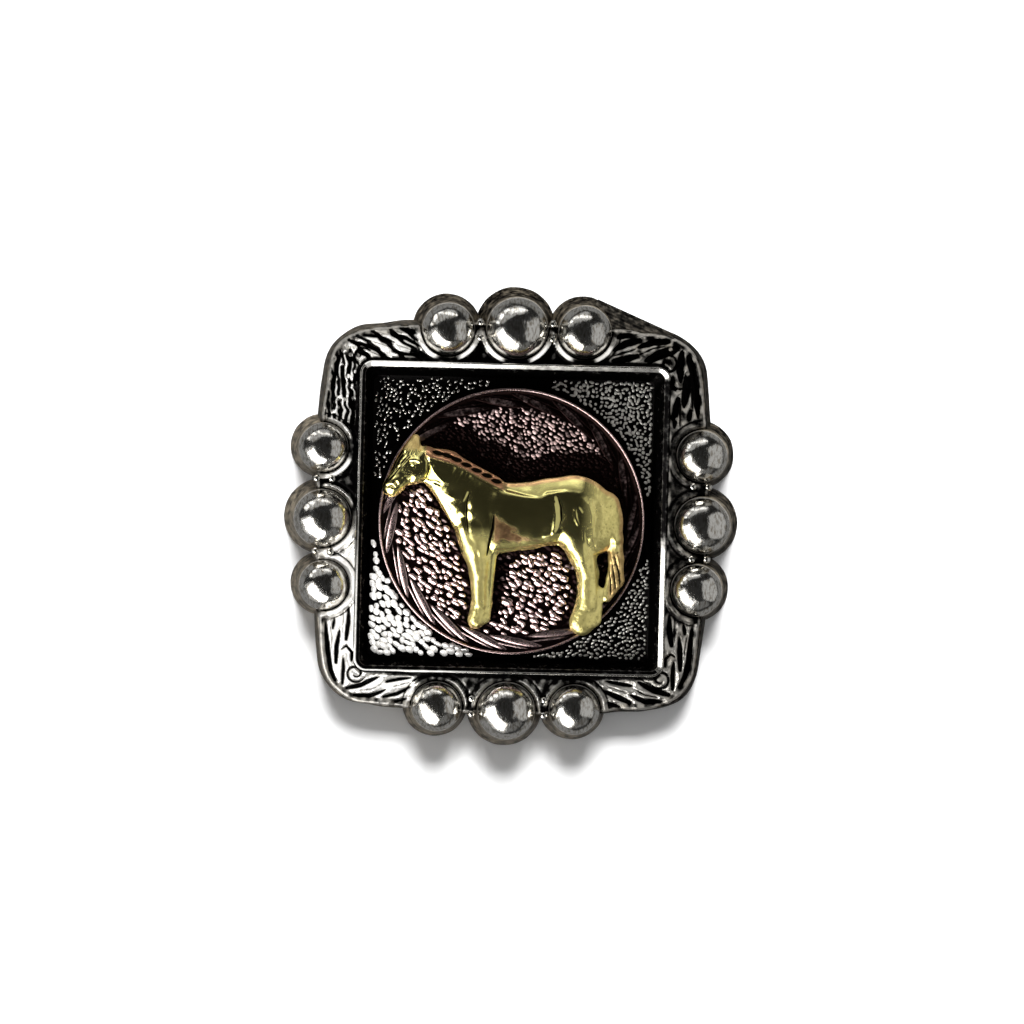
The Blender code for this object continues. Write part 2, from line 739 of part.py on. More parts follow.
def horse_form():
    form = bmesh.new()
    loops = horse_loops()
    scale = HORSE_LENGTH
    rim = {}

    def corner(point, height, level):
        key = (round(point.x, 6), round(point.y, 6), level)
        if key not in rim:
            rim[key] = form.verts.new((point.x * scale, point.y * scale, height * scale))
        return rim[key]

    tops, faces = triangulated(loops, inner_points(loops))
    outline_keys = {(round(p.x, 6), round(p.y, 6)) for loop in loops for p in loop}
    for face in faces:
        ring = []
        for k in face:
            on_outline = (round(tops[k].x, 6), round(tops[k].y, 6)) in outline_keys
            rise = 0.0 if on_outline else horse_relief(tops[k].x, tops[k].y)
            ring.append(corner(tops[k], HORSE_EDGE + rise, 1))
        form.faces.new(ring)
    bottoms, faces = triangulated(loops, [])
    for face in faces:
        form.faces.new([corner(bottoms[k], 0.0, 0) for k in reversed(face)])
    for loop in loops:
        for a, b in zip(loop, loop[1:] + loop[:1]):
            form.faces.new((
                corner(a, 0.0, 0), corner(b, 0.0, 0),
                corner(b, HORSE_EDGE, 1), corner(a, HORSE_EDGE, 1),
            ))
    return form


def add_lock(form, start, end):
    scale = HORSE_LENGTH
    path, widths, crests, foot = [], [], [], []
    for share in LOCK_STATIONS:
        point = start.lerp(end, share)
        ground = HORSE_EDGE + horse_relief(point.x, point.y)
        fullness = LOCK_TIP_SHARE + (1 - LOCK_TIP_SHARE) * lens(share)
        path.append(point * scale)
        widths.append(LOCK_WIDTH * fullness * scale)
        crests.append((ground + LOCK_HEIGHT * fullness) * scale)
        foot.append((ground - LOCK_ROOT) * scale)
    add_ridge(form, path, widths, crests, foot)


def locks_form():
    form = bmesh.new()
    mane_start, mane_end = Vector(MANE_START), Vector(MANE_END)
    fall = MANE_LOCK_LENGTH * Vector((math.sin(MANE_LOCK_SLANT), -math.cos(MANE_LOCK_SLANT)))
    for index in range(MANE_LOCKS):
        top = mane_start.lerp(mane_end, index / (MANE_LOCKS - 1))
        add_lock(form, top, top + fall)
    for index in range(TAIL_LOCKS):
        shift = Vector(((index - (TAIL_LOCKS - 1) / 2) * TAIL_LOCK_PITCH, 0.0))
        add_lock(form, Vector(TAIL_LOCK_START) + shift * 0.5, Vector(TAIL_LOCK_END) + shift)
    return form


def rim_cutter_form():
    # Room for the medallion's raised rim under whatever part of the horse laps over it
    form = bmesh.new()
    inner = ROPE_INNER_RADIUS - SOLDER_GAP
    outer = MEDALLION_RADIUS * RIM_CUT_REACH_SHARE
    low = -RIM_RISE
    high = RIM_RISE
    centre = Vector((0.0, 0.0))
    loops = [
        [form.verts.new(point) for point in circle(centre, radius, height, RIM_CUT_SEGMENTS)]
        for radius, height in ((inner, low), (outer, low), (outer, high), (inner, high))
    ]
    for ring, following in zip(loops, loops[1:] + loops[:1]):
        for index in range(RIM_CUT_SEGMENTS):
            form.faces.new((ring[index - 1], ring[index], following[index], following[index - 1]))
    return form


def build_horse(parent):
    brass = metal("gold_plate", (0.72, 0.60, 0.28), 0.22)
    centre_x = HORSE_CENTRE[0] * HORSE_LENGTH
    centre_y = HORSE_CENTRE[1] * HORSE_LENGTH - MEDALLION_DROP
    place = (centre_x, centre_y, HORSE_Z)
    horse = add_object("horse", horse_form(), parent, place, brass)
    combine(horse, add_object("guide_locks", locks_form(), parent, place), "UNION")
    cutter_place = (0.0, -MEDALLION_DROP, HORSE_Z)
    cutter = add_object("guide_rim_cut", rim_cutter_form(), parent, cutter_place)
    combine(horse, cutter, "DIFFERENCE")
    return horse


def main():
    clear_scene()
    concho = bpy.data.objects.new("concho", None)
    bpy.context.scene.collection.objects.link(concho)
    build_frame(concho)
    build_medallion(concho)
    build_horse(concho)


main()
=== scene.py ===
import math
import random

import bmesh
import bpy
import numpy as np
from mathutils import Matrix, Vector


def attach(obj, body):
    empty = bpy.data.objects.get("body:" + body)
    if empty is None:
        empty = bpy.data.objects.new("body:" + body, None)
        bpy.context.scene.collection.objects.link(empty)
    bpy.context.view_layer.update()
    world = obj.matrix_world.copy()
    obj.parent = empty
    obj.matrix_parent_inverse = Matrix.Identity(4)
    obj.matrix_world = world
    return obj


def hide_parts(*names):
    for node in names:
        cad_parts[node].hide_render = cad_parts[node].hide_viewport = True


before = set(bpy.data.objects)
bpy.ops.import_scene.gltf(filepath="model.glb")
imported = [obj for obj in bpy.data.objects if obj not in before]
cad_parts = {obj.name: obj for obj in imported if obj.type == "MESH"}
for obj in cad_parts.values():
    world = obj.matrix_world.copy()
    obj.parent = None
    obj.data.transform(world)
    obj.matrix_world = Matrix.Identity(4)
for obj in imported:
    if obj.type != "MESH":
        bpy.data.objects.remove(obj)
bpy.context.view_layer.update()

# A square western concho. It lies on its back and the camera looks down on it.
# Sizes are in millimetres and degrees; the node inputs are turned to metres and radians.
mm = 0.001
farOff = 9.0  # further than any stroke reaches


def hexColour(text):
    # sRGB hex to the linear values that the shaders take
    parts = [int(text[place:place + 2], 16) / 255 for place in (1, 3, 5)]
    linear = [part / 12.92 if part <= 0.04045 else ((part + 0.055) / 1.055) ** 2.4 for part in parts]
    return (*linear, 1.0)


def addNode(tree, kind, values=None, **settings):
    # One node with its settings; a value may be a plain value, a socket or a node's first output
    node = tree.nodes.new(kind)
    for name, value in settings.items():
        setattr(node, name, value)
    for socket, value in (values or {}).items():
        if isinstance(value, bpy.types.Node):
            value = value.outputs[0]
        if isinstance(value, bpy.types.NodeSocket):
            tree.links.new(value, node.inputs[socket])
        else:
            node.inputs[socket].default_value = value
    return node


def smoothStep(low, high, value):
    share = np.clip((value - low) / (high - low), 0.0, 1.0)
    return share * share * (3 - 2 * share)


def waves(x, y, size, seed, count=7):
    # Gentle unevenness of a casting, mostly between -1 and 1
    draw = random.Random(seed)
    total = np.zeros_like(x)
    for _ in range(count):
        turn = draw.uniform(0, 2 * math.pi)
        pitch = 2 * math.pi / (size * draw.uniform(0.6, 1.7))
        shift = draw.uniform(0, 2 * math.pi)
        total += np.sin((x * math.cos(turn) + y * math.sin(turn)) * pitch + shift)
    return total / math.sqrt(count)


def strokeDistance(x, y, points, width, taper):
    # Distance from the edge of a tapering stroke, below zero inside it, far away elsewhere
    points = np.asarray(points, dtype=float)
    found = np.full(x.shape, farOff)
    reach = width + 1.0
    near = (x > points[:, 0].min() - reach) & (x < points[:, 0].max() + reach)
    near &= (y > points[:, 1].min() - reach) & (y < points[:, 1].max() + reach)
    px, py = x[near], y[near]
    lengths = np.hypot(*np.diff(points, axis=0).T)
    total = lengths.sum()
    best = np.full(px.shape, farOff)
    passed = 0.0
    for (ax, ay), (bx, by), length in zip(points, points[1:], lengths):
        share = np.clip(((px - ax) * (bx - ax) + (py - ay) * (by - ay)) / length ** 2, 0.0, 1.0)
        gap = np.hypot(px - ax - share * (bx - ax), py - ay - share * (by - ay))
        along = (passed + share * length) / total
        best = np.minimum(best, gap - width / 2 * taper(along))
        passed += length
    found[near] = best
    return found


def leafTaper(along):
    # Blunt where a leaf starts, pointed where it ends
    return np.sqrt(np.clip(np.sin(math.pi * (0.14 + 0.86 * along)), 0.0, 1.0))


def lineTaper(along):
    return np.clip(np.sin(math.pi * (0.04 + 0.92 * along)), 0.0, 1.0) ** 0.4


def finishPiece(name, mesh, material, node):
    piece = bpy.data.objects.new(name, mesh)
    bpy.context.scene.collection.objects.link(piece)
    mesh.materials.clear()
    mesh.materials.append(material)
    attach(piece, "root")
    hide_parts(node)
    print(f"{name}: {len(mesh.polygons)} faces")
    return piece


def meshFrom(name, points, faces, marks):
    # A mesh from plain lists, its points in millimetres, with marks that the materials read
    mesh = bpy.data.meshes.new(name)
    mesh.from_pydata((np.asarray(points) * mm).tolist(), [], faces)
    for key, values in marks.items():
        layer = mesh.attributes.new(key, "FLOAT", "POINT")
        layer.data.foreach_set("value", np.asarray(values, dtype=np.float32))
    return mesh


def quadsBetween(first, second, count):
    # Faces between two closed rings of points that start at these places in the list
    return [
        (first + k, first + (k + 1) % count, second + (k + 1) % count, second + k) for k in range(count)
    ]


def turnOutward(mesh, closeBottom=False):
    form = bmesh.new()
    form.from_mesh(mesh)
    if closeBottom:
        rim = [edge for edge in form.edges if edge.is_boundary]
        bmesh.ops.triangle_fill(form, edges=rim, use_beauty=True)
    bmesh.ops.recalc_face_normals(form, faces=form.faces)
    form.to_mesh(mesh)
    form.free()
    mesh.shade_smooth()
    return mesh


def shapeTree(name, inputs):
    tree = bpy.data.node_groups.new(name, "GeometryNodeTree")
    tree.interface.new_socket("Geometry", in_out="INPUT", socket_type="NodeSocketGeometry")
    for label, value in inputs.items():
        kind = "NodeSocketInt" if isinstance(value, int) else "NodeSocketFloat"
        tree.interface.new_socket(label, in_out="INPUT", socket_type=kind)
    tree.interface.new_socket("Geometry", in_out="OUTPUT", socket_type="NodeSocketGeometry")
    return tree, addNode(tree, "NodeGroupInput")


def placeParts(tree):
    # X, Y and Z of wherever the field is read
    return addNode(tree, "ShaderNodeSeparateXYZ", {0: addNode(tree, "GeometryNodeInputPosition")}).outputs


def closeTree(tree, geometry, material):
    real = addNode(tree, "GeometryNodeRealizeInstances", {0: geometry})
    painted = addNode(tree, "GeometryNodeSetMaterial", {"Geometry": real, "Material": material})
    addNode(tree, "NodeGroupOutput", {0: painted})


def runTree(tree, values, source):
    # Runs a tree over a source mesh and gives the result as a plain mesh
    carrier = bpy.data.objects.new("carrier", source)
    bpy.context.scene.collection.objects.link(carrier)
    modifier = carrier.modifiers.new("shape", "NODES")
    modifier.node_group = tree
    for socket in tree.interface.items_tree:
        if socket.in_out == "INPUT" and socket.name in values:
            modifier[socket.identifier] = values[socket.name]
    graph = bpy.context.evaluated_depsgraph_get()
    mesh = bpy.data.meshes.new_from_object(carrier.evaluated_get(graph), depsgraph=graph)
    carrier.modifiers.remove(modifier)
    bpy.data.objects.remove(carrier, do_unlink=True)
    return turnOutward(mesh)


def platedMetal(name, look):
    # polish 1 is a buffed crest and 0 a blackened recess, dull is unbuffed skin, tint a second plating, and
    # on the silver a matt white painted highlight
    material = bpy.data.materials.new(name)
    material.use_nodes = True
    tree = material.node_tree
    shader = tree.nodes["Principled BSDF"]
    place = addNode(tree, "ShaderNodeTexCoord").outputs["Object"]
    polish, dull, tint = [
        addNode(tree, "ShaderNodeAttribute", attribute_name=mark).outputs["Fac"]
        for mark in ("polish", "dull", "tint")
    ]
    stretched = addNode(tree, "ShaderNodeVectorMath", {0: place, 1: look["stretch"]}, operation="MULTIPLY")
    noise = {}
    for grain, vector, detail, roughness in (
        ("blotch", place, 4.0, 0.6), ("grit", stretched, 3.0, 0.5),
        ("smudge", place, 2.0, 0.5), ("swell", place, 1.0, 0.5),
    ):
        noise[grain] = addNode(tree, "ShaderNodeTexNoise", {
            "Vector": vector, "Scale": 1 / (look[grain + "Size"] * mm), "Detail": detail,
            "Roughness": roughness,
        })
    reach = look["blotchReach"]
    drift = addNode(tree, "ShaderNodeMapRange", {0: noise["blotch"], 1: 0.3, 2: 0.7, 3: -reach, 4: reach})
    worn = addNode(tree, "ShaderNodeMath", {0: polish, 1: drift}, operation="ADD")
    bright = addNode(
        tree, "ShaderNodeMapRange", {0: worn, 1: 0.15, 2: 0.75}, interpolation_type="SMOOTHSTEP"
    )
    patch = addNode(tree, "ShaderNodeMapRange", {0: noise["blotch"], 1: 0.36, 2: 0.64})
    tarnish = addNode(tree, "ShaderNodeMapRange", {0: noise["grit"], 1: 0.45, 2: 0.70, 4: look["tarnish"]})
    # Each coat lies over the one before by a share; oxide also soaks up the light that grazes it
    coats = {key: hexColour(look[key]) for key in ("metal", "tinted", "skinDark", "skinLight", "oxide")}
    coats.update(soaked=hexColour("#5c5a56"), clear=hexColour("#ffffff"))
    for coat, share, under, over in (
        ("plated", tint, "metal", "tinted"), ("skin", patch, "skinDark", "skinLight"),
        ("touched", tarnish, "plated", "skinLight"), ("surface", dull, "touched", "skin"),
        ("colour", bright, "oxide", "surface"), ("edge", bright, "soaked", "clear"),
    ):
        coats[coat] = addNode(
            tree, "ShaderNodeMix", {0: share, 6: coats[under], 7: coats[over]}, data_type="RGBA"
        ).outputs[2]
    # Unbuffed skin is partly matt, so it scatters light as well as mirroring it
    bare = addNode(tree, "ShaderNodeMath", {0: dull, 1: bright}, operation="MULTIPLY")
    mirrored = addNode(tree, "ShaderNodeMapRange", {0: bare, 3: 1.0, 4: look["skinMetal"]})
    matt = addNode(tree, "ShaderNodeMapRange", {0: tint, 3: 1.0, 4: look["tintMetal"]})
    metallic = addNode(tree, "ShaderNodeMath", {0: mirrored, 1: matt}, operation="MULTIPLY")
    skinned = addNode(tree, "ShaderNodeMapRange", {0: dull, 3: look["polishedRough"], 4: look["skinRough"]})
    smudged = addNode(tree, "ShaderNodeMath", {
        0: noise["smudge"], 1: look["smudge"], 2: skinned,
    }, operation="MULTIPLY_ADD")
    rough = addNode(tree, "ShaderNodeMix", {0: bright, 2: look["oxideRough"], 3: smudged})
    swellBump = addNode(tree, "ShaderNodeBump", {
        "Strength": 1.0, "Distance": look["swell"] * mm, "Height": noise["swell"],
    })
    gritShare = addNode(tree, "ShaderNodeMapRange", {0: bright, 3: 1.0, 4: look["gritLeft"]})
    gritDull = addNode(tree, "ShaderNodeMath", {0: gritShare, 1: dull}, operation="MAXIMUM")
    gritBump = addNode(tree, "ShaderNodeBump", {
        "Strength": gritDull, "Distance": look["grit"] * mm, "Height": noise["grit"], "Normal": swellBump,
    })
    for socket, value in (
        ("Base Color", coats["colour"]), ("Specular Tint", coats["edge"]), ("Metallic", metallic.outputs[0]),
        ("Roughness", rough.outputs[0]), ("Normal", gritBump.outputs[0]),
    ):
        tree.links.new(value, shader.inputs[socket])
    return material


# Antiqued silver plate on a zinc casting: buffed bright on the high places, black oxide below them,
# and a dull grey-brown skin on the sides that the buffing wheel misses
silverPlate = platedMetal("antiquedSilverPlate", {
    "metal": "#d8d5ce", "tinted": "#f6f4f0", "tintMetal": 0.3, "skinDark": "#38342d", "skinLight": "#716859",
    "oxide": "#0b0a0a", "blotchSize": 0.5, "blotchReach": 0.14,
    "polishedRough": 0.20, "skinRough": 0.50, "oxideRough": 0.42, "smudge": 0.12, "smudgeSize": 0.9,
    "swell": 0.035, "swellSize": 2.2, "grit": 0.012, "gritSize": 0.16, "gritLeft": 0.20,
    "skinMetal": 0.45, "stretch": (1.0, 1.0, 1.0), "tarnish": 0.22,
})

# The same plate where it is buffed to a mirror, as on the beads
mirrorSilver = platedMetal("buffedSilverPlate", {
    "metal": "#dcdad4", "tinted": "#dcdad4", "tintMetal": 1.0, "skinDark": "#3d372d", "skinLight": "#867b68",
    "oxide": "#0b0a0a", "blotchSize": 0.6, "blotchReach": 0.16,
    "polishedRough": 0.11, "skinRough": 0.46, "oxideRough": 0.5, "smudge": 0.10, "smudgeSize": 0.5,
    "swell": 0.09, "swellSize": 1.3, "grit": 0.030, "gritSize": 0.26, "gritLeft": 0.40,
    "skinMetal": 0.35, "stretch": (1.5, 0.6, 0.6), "tarnish": 0.75,
})

# Antiqued copper plate: pinkish grains that shine out of a blackened ground
copperPlate = platedMetal("antiquedCopperPlate", {
    "metal": "#f0d1cd", "tinted": "#c98d7a", "tintMetal": 1.0, "skinDark": "#3f2921", "skinLight": "#6d4a3e",
    "oxide": "#1c1211", "blotchSize": 0.45, "blotchReach": 0.16,
    "polishedRough": 0.22, "skinRough": 0.50, "oxideRough": 0.45, "smudge": 0.10, "smudgeSize": 0.6,
    "swell": 0.02, "swellSize": 1.2, "grit": 0.010, "gritSize": 0.14, "gritLeft": 0.25,
    "skinMetal": 0.35, "stretch": (1.0, 1.0, 1.0), "tarnish": 0.3,
})

# Gold plate buffed to a mirror, with the copper under it left showing along the back, mane and tail
goldPlate = platedMetal("buffedGoldPlate", {
    "metal": "#ece292", "tinted": "#c48f6c", "tintMetal": 0.85, "skinDark": "#8f7c3c",
    "skinLight": "#d8c67e", "oxide": "#100d06", "blotchSize": 0.6, "blotchReach": 0.08,
    "polishedRough": 0.12, "skinRough": 0.42, "oxideRough": 0.45, "smudge": 0.10, "smudgeSize": 0.8,
    "swell": 0.006, "swellSize": 1.2, "grit": 0.045, "gritSize": 0.26, "gritLeft": 0.05,
    "skinMetal": 0.5, "stretch": (1.0, 1.0, 1.0), "tarnish": 0.25,
})
print("plated metals: done")

# The frame: one structured skin from the window's floor over the carved border to the screw boss
frameSize = {
    "half": 16.64, "cornerRadius": 4.2, "bulge": 0.75, "draft": 0.34, "edgeRound": 0.26,
    "height": 4.0, "windowFloorZ": 2.5, "windowHalf": 12.45, "windowRadius": 0.6, "wallRun": 0.8,
    "lipWidth": 0.50, "lipHeight": 0.3, "backRim": 4.0, "recessDepth": 1.3, "recessRadius": 2.0,
    "recessDraft": 0.3, "bossSetback": 0.25, "holeRadius": 1.75, "holeDepth": 1.65, "holeEndZ": 1.95,
    "threadPitch": 0.7, "threadDepth": 0.12, "threadSteps": 15, "sidePoints": 296, "borderRings": 44,
    "faceSlope": 0.26, "leafLift": 0.14, "pitDepth": 0.36, "castWaves": 0.030, "sideWaves": 0.05,
    "sideFlare": 0.34, "flatFall": 0.5, "shoulderDepth": 0.26, "veinDepth": 0.20, "beadGroove": 0.4,
    "seatEdgeCut": 0.10, "thinVeinDepth": 0.07, "ridgeDepth": 0.14, "dotHeight": 0.16, "dotRadius": 0.17,
    "floorDisc": 9.4,
    # Radius and height of the boss, from its foot in the recess to the mouth of its hole
    "bossProfile": (
        (3.5, 1.28), (3.41, 1.2), (3.35, 0.9), (3.24, 0.45), (3.2, 0.32), (3.1, 0.25), (1.95, 0.25),
    ),
}
beadSize = {
    "middleRadius": 2.5, "sideRadius": 2.16, "spacing": 5.7, "middleInset": 0.71, "sideInset": 0.94,
    "sink": 0.5, "flare": 0.72, "seatGap": 0.20, "seatWidth": 0.44, "seatHeight": 0.34, "seatSweep": 84,
    "berryRadius": 0.32, "berryOutward": 0.50, "berryInward": 0.78,
    "segments": 64, "rings": 34, "skirtWaves": 0.10,
    # The casting's own unevenness, clockwise from the top left bead: shift x, shift y, size,
    # how far up its outer face is left dull, and how bright its skirt is painted, most on the left and lower
    # beads as painted light
    "uneven": (
        (0.04, 0.00, 1.03, 0.40, 0.42), (0.06, -0.03, 1.04, 0.40, 0.38), (0.00, 0.00, 1.04, 0.41, 0.40),
        (0.10, -0.12, 1.02, 0.47, 0.38), (0.05, -0.19, 0.97, 0.48, 0.40), (-0.10, 0.08, 1.03, 0.47, 0.42),
        (-0.12, -0.12, 0.99, 0.42, 0.56), (-0.10, -0.10, 0.98, 0.42, 0.56), (-0.22, -0.09, 0.98, 0.42, 0.56),
        (0.16, -0.15, 0.97, 0.38, 0.66), (0.14, -0.28, 0.97, 0.38, 0.66), (-0.12, -0.10, 0.96, 0.38, 0.66),
    ),
}
# Pits cut between the leaves, right half of the upper side: along the side, then outward, then width
crossPits = (
    (((12.75, 15.02), (11.4, 14.95), (10.1, 14.45)), 0.40),
    (((13.45, 14.45), (12.2, 14.10), (10.75, 13.38)), 0.46),
    (((10.25, 15.10), (9.1, 14.75), (8.0, 14.15)), 0.44),
    (((10.2, 13.75), (9.1, 13.52), (8.0, 13.38)), 0.36),
    (((9.35, 15.48), (8.3, 15.22)), 0.30),
)
crossVeins = (
    (((12.5, 14.62), (11.4, 14.42), (10.4, 13.95)), 0.11),
    (((10.0, 14.32), (9.1, 14.05), (8.2, 13.75)), 0.11),
    (((12.3, 13.72), (11.5, 13.36), (10.9, 13.10)), 0.10),
)
# The same for the upper half of the right side, measured along that side and outward
uprightPits = (
    (((13.75, 14.40), (12.8, 14.75), (11.5, 15.02), (8.7, 15.30)), 0.42),
    (((12.3, 14.38), (11.0, 14.32), (9.5, 14.15)), 0.42),
    (((9.40, 14.66), (8.5, 14.52)), 0.28),
    (((10.3, 13.58), (9.0, 13.42), (7.7, 13.36)), 0.42),
    (((14.05, 13.78), (12.8, 13.72), (11.7, 13.80)), 0.40),
    (((12.1, 13.10), (11.35, 13.12), (10.95, 13.55), (11.2, 13.95)), 0.26),
)
uprightVeins = (
    (((11.3, 14.68), (10.2, 14.72), (9.3, 14.92)), 0.10),
    (((9.9, 13.86), (8.9, 13.78), (8.0, 13.84)), 0.10),
)
# How wide the pits are cut in each corner, right or left and upper or lower, in the order of the draws
cornerCut = {(1, 1): 1.50, (1, -1): 1.05, (-1, 1): 0.70, (-1, -1): 0.78}
# Small raised dots among the leaves of the upper corners, most of them in the left one
castDots = (
    (-13.75, 14.00), (-13.73, 13.34), (-14.35, 13.69), (-14.50, 12.53), (-13.28, 11.95), (-13.87, 11.58),
    (-12.86, 12.57), (-14.18, 9.63), (-14.50, 9.82), (-13.35, 9.77), (-15.00, 8.60), (-14.70, 8.95),
    (13.05, 13.60), (14.35, 12.40), (13.60, 10.90), (13.60, 8.60), (12.90, 14.40),
)
scrollShape = {"centre": (12.72, 13.12), "radius": 0.86, "eyeRadius": 0.26, "turns": 1.2, "width": 0.2}


def pillowCurve(half, radius, bulge, along):
    # Upper side of a pillow square: along is 0 mid-side, 1 where the corner starts, 2 on the diagonal
    tilt = math.atan2(2 * bulge, half - bulge - radius)
    centre = half - bulge - radius * math.cos(tilt)
    start = centre + radius * math.sin(tilt)
    share = np.abs(along)
    angle = tilt + (share - 1) * (math.pi / 4 - tilt)
    x = np.where(share <= 1, start * share, centre + radius * np.sin(angle))
    y = np.where(share <= 1, half - bulge * share ** 2, centre + radius * np.cos(angle))
    return np.stack([np.copysign(x, along), y], axis=1)


def allSides(side):
    rings = [side]
    for _ in range(3):
        last = rings[-1]
        rings.append(np.stack([last[:, 1], -last[:, 0]], axis=1))
    return np.concatenate(rings)


def sideStations(count):
    # Places along a side, twice as close in the carved corners as behind the beads
    dense = np.linspace(-2.0, 2.0, 4001)
    line = pillowCurve(14.5, 2.3, 0.4, dense)
    steps = np.hypot(*np.diff(line, axis=0).T)
    middle = np.abs(line[:-1, 0] + line[1:, 0]) / 2
    steps *= np.where(middle > 7.6, 1.0, 0.5)
    passed = np.concatenate([[0.0], np.cumsum(steps)])
    return np.interp(np.arange(count) / count * passed[-1], passed, dense)


def quarterTurns(x, y, quarters):
    for _ in range(quarters):
        x, y = y, -x
    return x, y


def beadPlaces():
    # Each bead's place, radius, which way is outward and how much of its outer face is left unbuffed
    places = []
    for quarter in range(4):
        for offset in (-beadSize["spacing"], 0.0, beadSize["spacing"]):
            inset = beadSize["sideInset"] if offset else beadSize["middleInset"]
            radius = beadSize["sideRadius"] if offset else beadSize["middleRadius"]
            x, y = quarterTurns(offset, frameSize["half"] - inset, quarter)
            shiftX, shiftY, size, skin, bare = beadSize["uneven"][len(places)]
            places.append((x + shiftX, y + shiftY, radius * size, quarter * math.pi / 2, skin, bare))
    return places


def berryPlaces():
    row = frameSize["half"] - (beadSize["middleInset"] + beadSize["sideInset"]) / 2
    gap = (beadSize["spacing"] + beadSize["middleRadius"] - beadSize["sideRadius"]) / 2
    places = []
    for quarter in range(4):
        for side in (-1, 1):
            for shift in (beadSize["berryOutward"], -beadSize["berryInward"]):
                places.append(quarterTurns(side * gap, row + shift, quarter))
    return places


def cornerStrokes(pits, upright, seed):
    # Every corner gets its own copy of each stroke, moved a little as by a carver's hand
    draw = random.Random(seed)
    strokes = []
    for (signX, signY), wider in cornerCut.items():
        for points, width in pits:
            moved = [(a + draw.uniform(-0.09, 0.09), b + draw.uniform(-0.05, 0.05)) for a, b in points]
            if upright:
                moved = [(b, a) for a, b in moved]
            cut = width * wider * draw.uniform(0.85, 1.2)
            strokes.append(([(signX * a, signY * b) for a, b in moved], cut))
    return strokes


def scrollStrokes(seed):
    draw = random.Random(seed)
    s = scrollShape
    strokes = []
    for signX, signY in cornerCut:
        turns = s["turns"] * draw.uniform(0.85, 1.1)
        start = draw.uniform(-0.3, 0.3) + math.radians(150)
        points = []
        for share in np.linspace(0.0, 1.0, 22):
            radius = s["radius"] + (s["eyeRadius"] - s["radius"]) * share
            angle = start - share * turns * 2 * math.pi
            x, y = s["centre"][0] + radius * math.cos(angle), s["centre"][1] + radius * math.sin(angle)
            points.append((signX * x, signY * y))
        strokes.append((points, s["width"]))
    return strokes


def pitDistance(x, y):
    pits = np.full(x.shape, farOff)
    for points, width in cornerStrokes(crossPits, False, 11) + cornerStrokes(uprightPits, True, 12):
        pits = np.minimum(pits, strokeDistance(x, y, points, width, leafTaper))
    return pits


